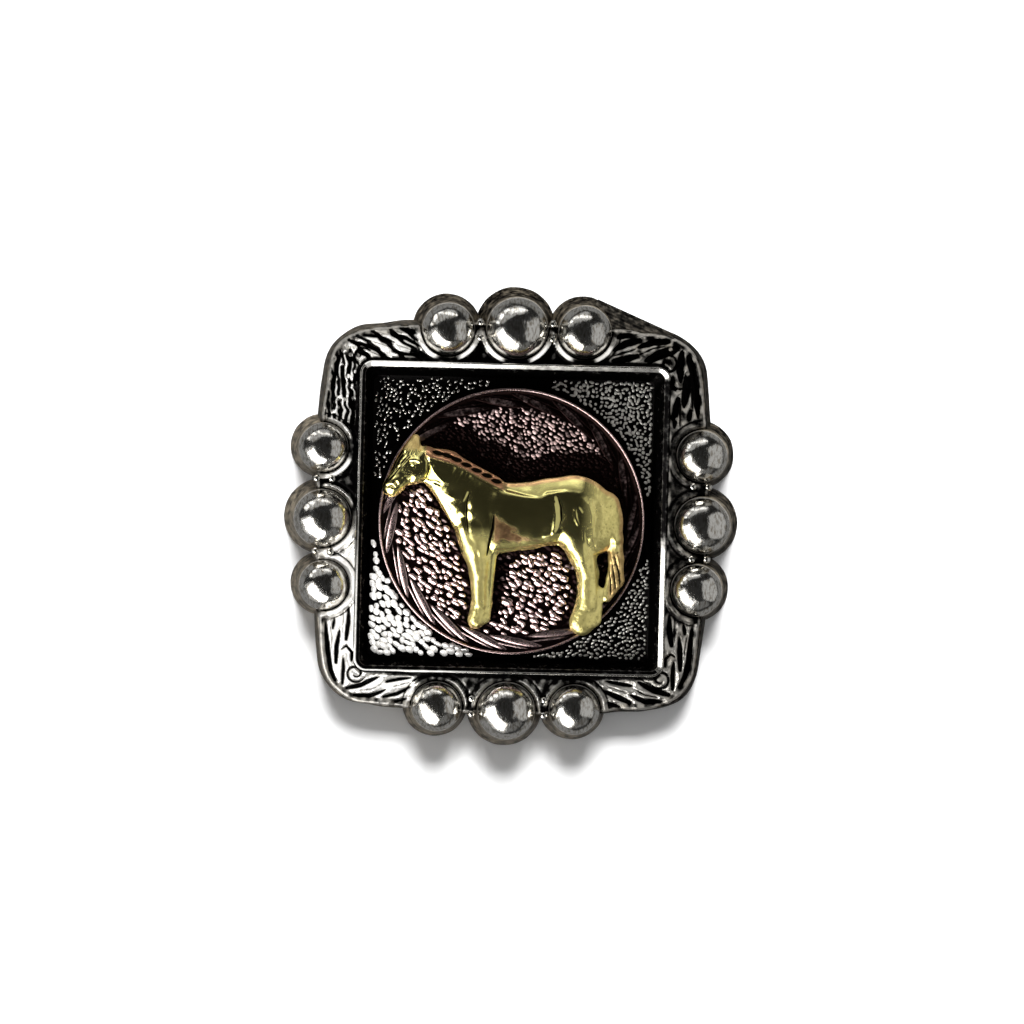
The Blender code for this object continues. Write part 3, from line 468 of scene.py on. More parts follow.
def borderRelief(x, y, across):
    # Height of the carved border and how far it is polished there
    height = frameSize["height"] + frameSize["faceSlope"] * (0.5 - across)
    alongSide = np.minimum(np.abs(x), np.abs(y))
    leafZone = smoothStep(0.08, 0.16, across) * (1 - smoothStep(0.80, 0.88, across))
    leafZone *= smoothStep(7.4, 8.2, alongSide)
    height = height + frameSize["leafLift"] * leafZone
    # The flat outside the lip falls away at the lower left; by side it is painted black, grey or bright, as
    # painted shade and highlight
    toLeft = smoothStep(0.55, 0.85, -x / np.hypot(x, y)) * smoothStep(1.5, -1.5, y)
    toFoot = smoothStep(0.45, 0.8, -y / np.hypot(x, y)) * smoothStep(-7.0, -10.0, x)
    falling = np.maximum(toLeft, toFoot) * (1 - smoothStep(0.02, 0.32, across))
    height = height + frameSize["flatFall"] * falling
    pits = pitDistance(x, y)
    lines = np.full(x.shape, farOff)
    for points, width in cornerStrokes(crossVeins, False, 13) + cornerStrokes(uprightVeins, True, 14):
        lines = np.minimum(lines, strokeDistance(x, y, points, width, lineTaper))
    for points, width in scrollStrokes(15):
        lines = np.minimum(lines, strokeDistance(x, y, points, width, lineTaper) - 0.02)
    height -= frameSize["pitDepth"] * (1 - smoothStep(-0.12, 0.10, pits))
    # The leaves slope into the pits, longest on the flank that faces the lower left
    shoulder = np.clip(1 - np.minimum(pits, pitDistance(x - 0.14, y - 0.14)) / 0.5, 0.0, 1.0)
    height -= frameSize["shoulderDepth"] * shoulder ** 1.3
    height -= frameSize["veinDepth"] * (1 - smoothStep(-0.06, 0.08, lines))
    polish = smoothStep(-0.07, 0.05, pits) * smoothStep(-0.06, 0.03, lines)
    # The seats' crests are buffed; they are painted brighter on the top and left beads as painted highlight
    seatBuffAndHighlight = np.zeros(x.shape)
    for beadX, beadY, radius, bearing, _, _ in beadPlaces():
        gap = np.hypot(x - beadX, y - beadY)
        angle = np.arctan2(x - beadX, y - beadY) - bearing - math.pi
        swing = np.abs((angle + math.pi) % (2 * math.pi) - math.pi) / math.radians(beadSize["seatSweep"])
        full = (0.25 + 0.75 * smoothStep(0.15, 0.45, swing)) * (1 - smoothStep(0.95, 1.15, swing))
        crest = radius + beadSize["seatGap"] + beadSize["seatWidth"] / 2
        cup = np.clip((gap - radius - 0.04) / (crest - radius - 0.04), 0.0, 1.0)
        cup *= 1 - smoothStep(crest, crest + 0.2, gap)
        height += beadSize["seatHeight"] * full * cup
        groove = 1 - smoothStep(radius + 0.02, radius + 0.15, gap)
        height -= frameSize["beadGroove"] * groove
        outer = np.exp(-((gap - crest - 0.34) / 0.09) ** 2) * full
        shown = full * smoothStep(radius + 0.06, radius + 0.14, gap)
        shown *= 1 - smoothStep(crest, crest + 0.12, gap)
        seatBuffAndHighlight = np.maximum(seatBuffAndHighlight, shown * (1.0 if bearing in (0.0, 1.5 * math.pi) else 0.6))
        height -= frameSize["seatEdgeCut"] * outer
        polish *= (1 - groove) * (1 - 0.85 * outer)
    for berryX, berryY in berryPlaces():
        gap = np.hypot(x - berryX, y - berryY)
        polish *= smoothStep(beadSize["berryRadius"] - 0.05, beadSize["berryRadius"] + 0.14, gap)
    # The upper left corner keeps its oxide between thin upright veins and broad slanting ridges
    drift = waves(x, y, 1.1, 27)
    upright = smoothStep(-12.9, -13.3, x) * smoothStep(6.4, 7.2, y) * smoothStep(14.2, 13.2, y)
    slanting = smoothStep(12.9, 13.3, y) * smoothStep(-14.8, -13.8, x) * smoothStep(-6.8, -7.6, x)
    betweenVeins = smoothStep(-0.75, -0.10, -np.cos(13.5 * x + 1.2 * y + 1.3 * drift)) * upright
    betweenRidges = smoothStep(0.10, 0.55, -np.cos(4.2 * x + 5.1 * y + 0.9 * drift)) * slanting
    height -= frameSize["thinVeinDepth"] * betweenVeins + frameSize["ridgeDepth"] * betweenRidges
    polish *= 1 - 0.9 * np.maximum(betweenVeins, betweenRidges)
    for dotX, dotY in castDots:
        dot = np.exp(-(np.hypot(x - dotX, y - dotY) / frameSize["dotRadius"]) ** 2)
        height += frameSize["dotHeight"] * dot
        polish = np.maximum(polish, smoothStep(0.2, 0.6, dot))
    height += frameSize["castWaves"] * waves(x, y, 0.8, 21) * (0.4 + 0.6 * leafZone)
    height += 0.3 * frameSize["castWaves"] * waves(x, y, 0.32, 23)
    patches = waves(x, y, 0.9, 22)
    # Painted light: behind the beads the flat's polish is set by side, black at the top, grey at the bottom
    # and right, bright at the left
    behindBeads = (1 - smoothStep(7.2, 8.2, alongSide)) * smoothStep(0.02, 0.10, across)
    level = np.where(x > np.abs(y), 0.50, np.where(y > np.abs(x), 0.10, 0.16))
    level = np.where(-y > np.abs(x), 0.30, level) + 0.9 * toLeft
    polish *= 1 - behindBeads * (1 - np.clip(level + 0.22 * patches, 0.0, 1.0))
    polish = np.maximum(polish, seatBuffAndHighlight)
    # Painted shade: the flat beside the lip is darkened, except at the right and the left
    paintedShadeFlat = (1 - smoothStep(0.07, 0.16, across)) * (1 - toLeft) * (x < np.abs(y))
    polish *= 1 - 0.85 * paintedShadeFlat
    # The right side and the upper right corner were hardly buffed, and no outer edge was
    unbuffed = smoothStep(1.0, 12.0, x) * smoothStep(-22.0, -6.0, y)
    ridge = smoothStep(0.10, 0.30, pits) * unbuffed * leafZone
    polish *= 1 - np.clip(0.40 + 0.25 * patches, 0.0, 1.0) * unbuffed
    polish *= 1 - np.clip(0.35 + 0.25 * patches, 0.0, 1.0) * ridge
    dull = 0.5 * unbuffed + 0.10
    outerFlat = smoothStep(0.80, 0.92, across)
    polish *= 1 - np.clip(0.42 + 0.2 * patches, 0.0, 1.0) * outerFlat
    dull = np.maximum(dull, 0.6 * outerFlat)
    return height, polish, np.clip(dull + 0.12 * waves(x, y, 1.6, 24), 0.0, 1.0)


def seatHighlightShare(x, y):
    # Seats painted matt white as painted highlight: at the lower right of the left beads and below the
    # joints of the top ones
    buffAndHighlight = np.zeros(x.shape)
    for beadX, beadY, radius, bearing, _, _ in beadPlaces():
        gap = np.hypot(x - beadX, y - beadY) - radius
        angle = np.degrees(np.arctan2(y - beadY, x - beadX))
        if bearing == 1.5 * math.pi:
            full = smoothStep(-112, -92, angle) * smoothStep(-8, -34, angle)
        elif bearing == 0.0:
            full = smoothStep(-20, -38, angle) * smoothStep(-78, -58, angle)
            full = np.maximum(full, smoothStep(-160, -142, angle) * smoothStep(-102, -122, angle))
        else:
            continue
        line = smoothStep(0.10, 0.18, gap) * (1 - smoothStep(0.42, 0.52, gap))
        buffAndHighlight = np.maximum(buffAndHighlight, full * line)
    return buffAndHighlight


def frameMesh():
    f = frameSize
    along = sideStations(f["sidePoints"])
    fine, coarse = [], []

    def addRing(rings, points, polish, dull):
        rings.append((points, np.zeros(len(points)) + polish, np.zeros(len(points)) + dull))

    def squareRing(rings, half, radius, bulge, z, polish, dull, shake=0.0, flare=0.0):
        flat = allSides(pillowCurve(half, radius, bulge, along))
        if rings is coarse:
            flat = flat[::4]
        if flare:
            # The mould's draft is greater on the right
            facing = np.degrees(np.arctan2(flat[:, 1], flat[:, 0]))
            spread = f["sideFlare"] * smoothStep(60, 30, np.abs(facing))
            flat = flat * (1 + flare * spread / half)[:, None]
        if shake:
            flat = flat * (1 + shake * waves(flat[:, 0], flat[:, 1] + 3 * z, 5.0, 31) / half)[:, None]
        addRing(rings, np.column_stack([flat, np.full(len(flat), z)]), polish, dull)

    lipTop = f["height"] + f["lipHeight"]
    floorHalf = f["windowHalf"] - f["wallRun"]
    for share in (0.0, 0.08, 0.2, 0.4, 0.6, 0.8, 0.94):
        half = floorHalf + f["wallRun"] * share
        z = f["windowFloorZ"] + (lipTop - 0.22 - f["windowFloorZ"]) * max(0.0, share - 0.04) ** 0.9
        squareRing(fine, half, f["windowRadius"], 0.0, z, 0.02 + 0.16 * share, 0.0)
    lipFoot = f["height"] + f["faceSlope"] / 2

    def lipBuffAndHighlight(flat, step):
        # Painted highlight: the lip's upper side, the lower half of its right side and a spot at the
        # upper right corner are painted bright; elsewhere only the crest is buffed, hardly at all along the
        # right
        x, y = flat[:, 0], flat[:, 1]
        upper = smoothStep(-0.2, 0.1, y - np.abs(x)) * (0.5 + 0.5 * smoothStep(3.0, -5.0, x))
        lowRightHighlight = smoothStep(-0.2, 0.1, x - np.abs(y)) * smoothStep(0.0, -4.0, y)
        corner = np.exp(-(np.hypot(x - 12.5, y - 12.5) / 0.65) ** 2)
        crest = smoothStep(0.50, 0.62, step) * (1 - smoothStep(0.88, 0.98, step))
        crest = crest * (1 - 0.75 * smoothStep(-0.2, 0.1, x - np.abs(y)))
        return np.clip(np.maximum(np.maximum(upper, lowRightHighlight), np.maximum(corner, crest * 0.8)), 0.12, 1.0)

    for step in (0.02, 0.12, 0.26, 0.40, 0.54, 0.67, 0.80, 0.90):
        half = f["windowHalf"] + f["lipWidth"] * step
        z = lipTop - 0.25 * max(0.0, 1 - step / 0.8) - 0.08 * max(0.0, (step - 0.8) / 0.2)
        squareRing(fine, half, f["windowRadius"] + f["lipWidth"] * step, 0.0, z, 0.3, 0.0)
        if step > 0.05:
            fine[-1] = (fine[-1][0], lipBuffAndHighlight(fine[-1][0], step), fine[-1][2])
    lipHalf = f["windowHalf"] + f["lipWidth"]
    inner = allSides(pillowCurve(lipHalf, f["windowRadius"] + f["lipWidth"], 0.0, along))
    topHalf = f["half"] - f["draft"] - f["edgeRound"]
    topRadius = f["cornerRadius"] - f["draft"] - f["edgeRound"]
    outer = allSides(pillowCurve(topHalf, topRadius, f["bulge"], along))
    outer = outer * (1 + 0.05 * waves(outer[:, 0], outer[:, 1], 4.0, 33) / topHalf)[:, None]
    for ring in range(f["borderRings"] + 1):
        across = ring / f["borderRings"]
        flat = inner + (outer - inner) * across
        z, polish, dull = borderRelief(flat[:, 0], flat[:, 1], across)
        if ring == 0:
            z, polish = np.full(len(flat), lipFoot), polish * 0.3
        addRing(fine, np.column_stack([flat, z]), polish, dull)
    topZ = fine[-1][0][:, 2]
    for step in (0.35, 0.7, 1.0):
        flat = outer * (1 + f["edgeRound"] * math.sin(step * math.pi / 2) / topHalf)
        z = topZ - (f["edgeRound"] + 0.1) * (1 - math.cos(step * math.pi / 2))
        addRing(fine, np.column_stack([flat, z]), 0.7, 0.6)
    for share in (0.0, 0.12, 0.26, 0.4, 0.54, 0.68, 0.82, 0.93, 0.985):
        half = topHalf + f["edgeRound"] + f["draft"] * share
        z = (f["height"] - f["edgeRound"] - 0.25) * (1 - share)
        corner = topRadius + f["edgeRound"] + f["draft"] * share
        tall = (share + 0.02) ** 0.6
        squareRing(coarse, half, corner, f["bulge"], z, 0.40, 1.0, f["sideWaves"], tall)
        # Painted light: the outer walls are painted brighter towards the left and darker towards the right
        side = smoothStep(4.0, -12.0, coarse[-1][0][:, 0])
        coarse[-1] = (coarse[-1][0], 0.37 + 0.15 * side, coarse[-1][2])
    squareRing(coarse, f["half"] - 0.06, f["cornerRadius"], f["bulge"], 0.0, 0.5, 0.8, f["sideWaves"], 1.0)
    recess = f["half"] - f["backRim"]
    squareRing(coarse, recess + 0.5, f["recessRadius"], 0.1, 0.0, 0.8, 0.7)
    squareRing(coarse, recess + 0.06, f["recessRadius"], 0.0, 0.0, 0.75, 0.8)
    for share in (0.04, 0.3, 0.65, 0.95, 1.0):
        half = recess - f["recessDraft"] * share - (0.08 if share == 1 else 0.0)
        squareRing(coarse, half, f["recessRadius"], 0.0, f["recessDepth"] * share, 0.45, 1.0)
    ceiling = coarse[-1][0]
    bearing = np.arctan2(ceiling[:, 0], ceiling[:, 1])

    def circle(radius, z):
        level = np.zeros(len(bearing)) + z
        return np.column_stack([radius * np.sin(bearing), radius * np.cos(bearing), level])

    bossFoot = circle(f["bossProfile"][0][0], f["recessDepth"])
    for share in (0.1, 0.25, 0.42, 0.6, 0.78, 0.92):
        ring = ceiling + (bossFoot - ceiling) * share
        ring[:, 2] += 0.03 * waves(ring[:, 0], ring[:, 1], 2.5, 35)
        addRing(coarse, ring, 0.5, 1.0)
    for radius, z in f["bossProfile"]:
        addRing(coarse, circle(radius, z), 0.6, 1.0)
    for step in range(f["threadSteps"] + 1):
        z = f["bossSetback"] + 0.06 + (f["holeDepth"] - 0.1) * step / f["threadSteps"]
        turn = (z / f["threadPitch"] + bearing / (2 * math.pi)) % 1.0
        addRing(coarse, circle(f["holeRadius"] - f["threadDepth"] * (1 - np.abs(2 * turn - 1)), z), 0.5, 0.9)
    floorStart = len(coarse)
    ring = fine[0][0][::4]
    for share in (0.25, 0.6, 1.0):
        addRing(coarse, ring + (circle(f["floorDisc"], ring[:, 2]) - ring) * share, 0.05, 0.0)

    allRings = fine + coarse
    starts = np.cumsum([0] + [len(ring[0]) for ring in allRings])
    points, polish, dull = [np.concatenate(parts) for parts in zip(*allRings)]
    faces = []

    def skin(first, last):
        for ring in range(first, last):
            faces.extend(quadsBetween(starts[ring], starts[ring + 1], len(allRings[ring][0])))

    def narrow(wide, slim):
        # Four points of the fine ring meet one step of the coarse ring
        a, b = starts[wide], starts[slim]
        count = len(allRings[slim][0])
        for k in range(count):
            around = [a + (4 * k + step) % (4 * count) for step in range(5)]
            faces.append((*around, b + (k + 1) % count, b + k))

    firstCoarse, last = len(fine), len(allRings) - 1
    floorStart += firstCoarse
    skin(0, firstCoarse - 1)
    narrow(firstCoarse - 1, firstCoarse)
    skin(firstCoarse, floorStart - 1)
    narrow(0, floorStart)
    skin(floorStart, last)
    centres = []
    for ring, z in ((floorStart - 1, f["holeEndZ"]), (last, f["windowFloorZ"])):
        tip = len(points) + len(centres)
        centres.append((0.0, 0.0, z))
        count = len(allRings[ring][0])
        for k in range(count):
            faces.append((starts[ring] + k, starts[ring] + (k + 1) % count, tip))
    points = np.concatenate([points, centres])
    polish = np.append(polish, [0.5, 0.05])
    dull = np.append(dull, [0.9, 0.0])
    faces = [tuple(int(k) for k in face) for face in faces]
    buffAndHighlight = seatHighlightShare(points[:, 0], points[:, 1])
    # Painted highlight: where buffed, the lower left corner and, less, the upper left one are painted a matt
    # white
    worn = smoothStep(14.0, 19.0, -points[:, 0] - points[:, 1]) * smoothStep(0.60, 0.85, polish)
    upperLeftHighlight = smoothStep(15.0, 21.0, points[:, 1] - points[:, 0]) * smoothStep(0.86, 0.97, polish)
    buffAndHighlight = np.maximum(buffAndHighlight, np.maximum(0.9 * worn, 0.7 * upperLeftHighlight))
    buffAndHighlight *= points[:, 2] > f["height"] - 0.3
    marks = {"polish": np.maximum(polish, buffAndHighlight), "dull": dull, "tint": buffAndHighlight}
    return turnOutward(meshFrom("conchoFrame", points, faces, marks))


finishPiece("conchoFrame", frameMesh(), silverPlate, "base")

# Beads: one turned profile, a flared skirt and a dome, set at each place by Geometry Nodes
beadInputs = {
    "Radius": beadSize["middleRadius"] * mm, "Flare": beadSize["flare"] * mm,
    "Equator": (frameSize["height"] - beadSize["sink"]) * mm, "Segments": beadSize["segments"],
    "Rings": beadSize["rings"], "Waves": beadSize["skirtWaves"] * mm,
    "Berry radius": beadSize["berryRadius"] * mm,
}


def beadTree():
    tree, given = shapeTree("turnedBeads", beadInputs)
    given = given.outputs
    size, bearing, riseHere, facingHere, skinHere, bareHere = [
        addNode(tree, "GeometryNodeInputNamedAttribute", {"Name": mark})
        for mark in ("size", "bearing", "rise", "facing", "skin", "bare")
    ]
    grid = addNode(tree, "GeometryNodeMeshGrid", {0: 1.0, 1: 1.0, 2: given["Segments"], 3: given["Rings"]})
    flat = placeParts(tree)
    turn = addNode(tree, "ShaderNodeMath", {0: flat["X"], 1: -2 * math.pi}, operation="MULTIPLY")
    rise = addNode(tree, "ShaderNodeMath", {0: flat["Y"], 1: 0.5}, operation="ADD")
    # The first row closes the foot, then a third of the rows make the skirt and the rest the dome
    opened = addNode(tree, "ShaderNodeMath", {0: rise, 1: 0.01}, operation="GREATER_THAN")
    skirt = addNode(tree, "ShaderNodeMapRange", {0: rise, 1: 0.03, 2: 0.34})
    dome = addNode(tree, "ShaderNodeMapRange", {0: rise, 1: 0.34, 4: math.pi / 2})
    left = addNode(tree, "ShaderNodeMath", {0: 1.0, 1: skirt}, operation="SUBTRACT")
    bell = addNode(tree, "ShaderNodeMath", {0: left, 1: 1.4}, operation="POWER")
    lift = addNode(tree, "ShaderNodeMath", {0: dome}, operation="SINE")
    narrow = addNode(tree, "ShaderNodeMath", {0: dome}, operation="COSINE")
    belly = addNode(tree, "ShaderNodeMath", {0: narrow, 1: given["Radius"]}, operation="MULTIPLY")
    wide = addNode(tree, "ShaderNodeMath", {0: bell, 1: given["Flare"], 2: belly}, operation="MULTIPLY_ADD")
    radius = addNode(tree, "ShaderNodeMath", {0: wide, 1: opened}, operation="MULTIPLY")
    low = addNode(tree, "ShaderNodeMath", {0: skirt, 1: given["Equator"]}, operation="MULTIPLY")
    high = addNode(tree, "ShaderNodeMath", {0: lift, 1: given["Radius"], 2: low}, operation="MULTIPLY_ADD")
    sine = addNode(tree, "ShaderNodeMath", {0: turn}, operation="SINE")
    facing = addNode(tree, "ShaderNodeMath", {0: turn}, operation="COSINE")
    x = addNode(tree, "ShaderNodeMath", {0: sine, 1: radius}, operation="MULTIPLY")
    y = addNode(tree, "ShaderNodeMath", {0: facing, 1: radius}, operation="MULTIPLY")
    place = addNode(tree, "ShaderNodeCombineXYZ", {0: x, 1: y, 2: high})
    shown = grid
    for label, value in (("rise", rise), ("facing", facing)):
        shown = addNode(tree, "GeometryNodeStoreNamedAttribute", {
            0: shown, "Name": label, "Value": value})
    turned = addNode(tree, "GeometryNodeSetPosition", {"Geometry": shown, "Position": place})
    closed = addNode(tree, "GeometryNodeMergeByDistance", {"Geometry": turned, "Distance": 1e-6})
    # A berry's size is marked below zero
    big = addNode(tree, "FunctionNodeCompare", {0: size, 1: 0.0}, operation="GREATER_THAN")
    spin = addNode(tree, "ShaderNodeCombineXYZ", {2: bearing})
    # The dome keeps its own radius, and the height goes with it by the same share
    beads = addNode(tree, "GeometryNodeInstanceOnPoints", {
        "Points": given["Geometry"], "Selection": big, "Instance": closed, "Rotation": spin, "Scale": size,
    })
    ball = addNode(tree, "GeometryNodeMeshUVSphere", {0: 24, 1: 14, 2: given["Berry radius"]})
    buffed = addNode(tree, "GeometryNodeStoreNamedAttribute", {
        0: ball, "Name": "rise", "Value": 1.0})
    small = addNode(tree, "FunctionNodeCompare", {0: size, 1: 0.0}, operation="LESS_THAN")
    berries = addNode(tree, "GeometryNodeInstanceOnPoints", {
        "Points": given["Geometry"], "Selection": small, "Instance": buffed,
    })
    joined = addNode(tree, "GeometryNodeJoinGeometry", {0: beads})
    tree.links.new(berries.outputs[0], joined.inputs[0])
    real = addNode(tree, "GeometryNodeRealizeInstances", {0: joined})
    # Outward faces keep their cast skin up to a share of the height, inward ones only on the skirt
    ripple = addNode(tree, "ShaderNodeTexNoise", {
        "Vector": addNode(tree, "GeometryNodeInputPosition"), "Scale": 1 / (1.1 * mm), "Detail": 2.0})
    line = addNode(tree, "ShaderNodeMapRange", {0: facingHere, 1: -0.5, 2: 0.7, 3: 0.355, 4: skinHere})
    ragged = addNode(tree, "ShaderNodeMath", {0: ripple, 1: 0.06, 2: line}, operation="MULTIPLY_ADD")
    above = addNode(tree, "ShaderNodeMath", {0: riseHere, 1: ragged}, operation="SUBTRACT")
    dull = addNode(tree, "ShaderNodeMapRange", {0: above, 1: -0.02, 2: 0.05, 3: 1.0, 4: 0.0})
    # The skirt's polish comes from the table, painted brighter on the left and lower beads as painted light
    foot = addNode(tree, "ShaderNodeMapRange", {0: riseHere, 1: 0.32, 2: 0.36, 3: bareHere})
    marked = real
    for label, value in (("dull", dull), ("polish", foot)):
        marked = addNode(tree, "GeometryNodeStoreNamedAttribute", {
            0: marked, "Name": label, "Value": value})
    centred = addNode(tree, "ShaderNodeVectorMath", {
        0: ripple.outputs["Color"], 1: (0.5, 0.5, 0.5)}, operation="SUBTRACT")
    low = addNode(tree, "ShaderNodeMapRange", {0: riseHere, 1: 0.02, 2: 0.36, 3: 1.0, 4: 0.0})
    reach = addNode(tree, "ShaderNodeMath", {0: low, 1: given["Waves"]}, operation="MULTIPLY")
    flatReach = addNode(tree, "ShaderNodeCombineXYZ", {0: reach, 1: reach})
    push = addNode(tree, "ShaderNodeVectorMath", {0: centred, 1: flatReach}, operation="MULTIPLY")
    # Every bead is as high at its equator, whatever its size
    shrunk = addNode(tree, "ShaderNodeMath", {0: 1.0, 1: size}, operation="SUBTRACT")
    missing = addNode(tree, "ShaderNodeMath", {0: shrunk, 1: given["Equator"]}, operation="MULTIPLY")
    skirtHere = addNode(tree, "ShaderNodeMapRange", {0: riseHere, 1: 0.03, 2: 0.34, 4: missing})
    lifted = addNode(tree, "ShaderNodeMath", {0: skirtHere, 1: big}, operation="MULTIPLY")
    raised = addNode(tree, "ShaderNodeCombineXYZ", {2: lifted})
    moved = addNode(tree, "ShaderNodeVectorMath", {0: push, 1: raised}, operation="ADD")
    cast = addNode(tree, "GeometryNodeSetPosition", {"Geometry": marked, "Offset": moved})
    closeTree(tree, cast, mirrorSilver)
    return tree


def beadPoints():
    points, rows = [], []
    for x, y, radius, bearing, skin, bare in beadPlaces():
        points.append((x, y, 0.06))
        rows.append((radius / beadSize["middleRadius"], -bearing, skin, bare))
    for x, y in berryPlaces():
        points.append((x, y, frameSize["height"] + 0.12))
        rows.append((-1.0, 0.0, 0.0, 1.0))
    return meshFrom("beadPoints", points, [], dict(zip(("size", "bearing", "skin", "bare"), zip(*rows))))


finishPiece("conchoBeads", runTree(beadTree(), beadInputs, beadPoints()), mirrorSilver, "base")

# Web of metal that the casting has between the top right bead and its corner
webSize = {
    "bottom": 0.2, "edge": 1.5, "root": 3.1, "ripple": 0.09, "stations": 40, "rows": 22,
    "skirtShare": 1.08, "pastCorner": 0.04, "beadStart": 0.45, "cornerStart": 0.55,
}


def webMesh():
    w, half, radius, bulge = webSize, frameSize["half"], frameSize["cornerRadius"], frameSize["bulge"]
    bead = Vector((beadSize["spacing"], half - beadSize["sideInset"]))
    beadReach = beadSize["sideRadius"] + beadSize["flare"] * w["skirtShare"]
    tilt = math.atan2(2 * bulge, half - bulge - radius)
    centre = half - bulge - radius * math.cos(tilt)
    corner = Vector((centre, centre))
    cornerReach = radius + w["pastCorner"]
    line = corner - bead
    lean = math.asin((beadReach - cornerReach) / line.length)
    bearing = math.atan2(line.y, line.x) + math.pi / 2 - lean
    normal = Vector((math.cos(bearing), math.sin(bearing)))
    outer = (bead + normal * beadReach, corner + normal * cornerReach)
    inner = (bead + normal * beadReach * w["beadStart"], corner + normal * cornerReach * w["cornerStart"])
    stations, rows = w["stations"], w["rows"]
    points, faces = [], []
    for station in range(stations + 1):
        along = station / stations
        near = inner[0].lerp(inner[1], along)
        far = outer[0].lerp(outer[1], along)
        for row in range(rows + 1):
            across = row / rows
            flat = near.lerp(far, across)
            z = w["root"] + (w["edge"] - w["root"]) * across ** 1.6
            z += w["ripple"] * math.sin(across * 17 + 2.2 * math.sin(along * 3)) * (1 - across)
            points.append((flat.x, flat.y, z))
        for z in (1.1, 0.7, 0.35):
            shift = normal * 0.05 * math.sin(z * 9 + along * 4)
            points.append((far.x + shift.x - normal.x * 0.05, far.y + shift.y - normal.y * 0.05, z))
        points.append((far.x - normal.x * 0.1, far.y - normal.y * 0.1, w["bottom"]))
        points.append((near.x, near.y, w["bottom"]))
    loop = rows + 6
    for station in range(stations):
        faces.extend(quadsBetween(station * loop, (station + 1) * loop, loop))
    faces.append(tuple(range(loop)))
    faces.append(tuple(stations * loop + k for k in range(loop)))
    # Flow lines of the metal run along the web
    loops = np.tile(np.arange(loop), stations + 1)
    streak = np.sin(loops * 1.9) + 0.6 * np.sin(loops * 0.8 + 1.0)
    marks = {"polish": 0.38 + 0.05 * streak, "dull": np.full(len(points), 0.9)}
    return turnOutward(meshFrom("cornerWeb", points, faces, marks))


finishPiece("cornerWeb", webMesh(), silverPlate, "base")

# Grains: one small dome scattered over the window's floor, another set in slanted rows on the copper
grainInputs = {
    "Spacing": 0.28 * mm, "Width": 0.18 * mm, "Length": 0.25 * mm, "Height": 0.11 * mm, "Seed": 5,
    "Lean": math.radians(1.9) / mm, "Slant": math.radians(10),
}
# The lower left corner was punched broader and is rubbed nearly smooth
broadInputs = {
    "Spacing": 0.44 * mm, "Width": 0.35 * mm, "Length": 0.42 * mm, "Height": 0.09 * mm, "Seed": 6,
    "Lean": math.radians(1.2) / mm, "Slant": math.radians(10),
}


def grainDome(tree):
    # Forty faces, its foot left black
    ball = addNode(tree, "GeometryNodeMeshUVSphere", {0: 8, 1: 5, 2: 1.0})
    share = addNode(tree, "ShaderNodeMapRange", {0: placeParts(tree)["Z"], 2: 0.5, 3: 0.2})
    return addNode(tree, "GeometryNodeStoreNamedAttribute", {0: ball, "Name": "polish", "Value": share})


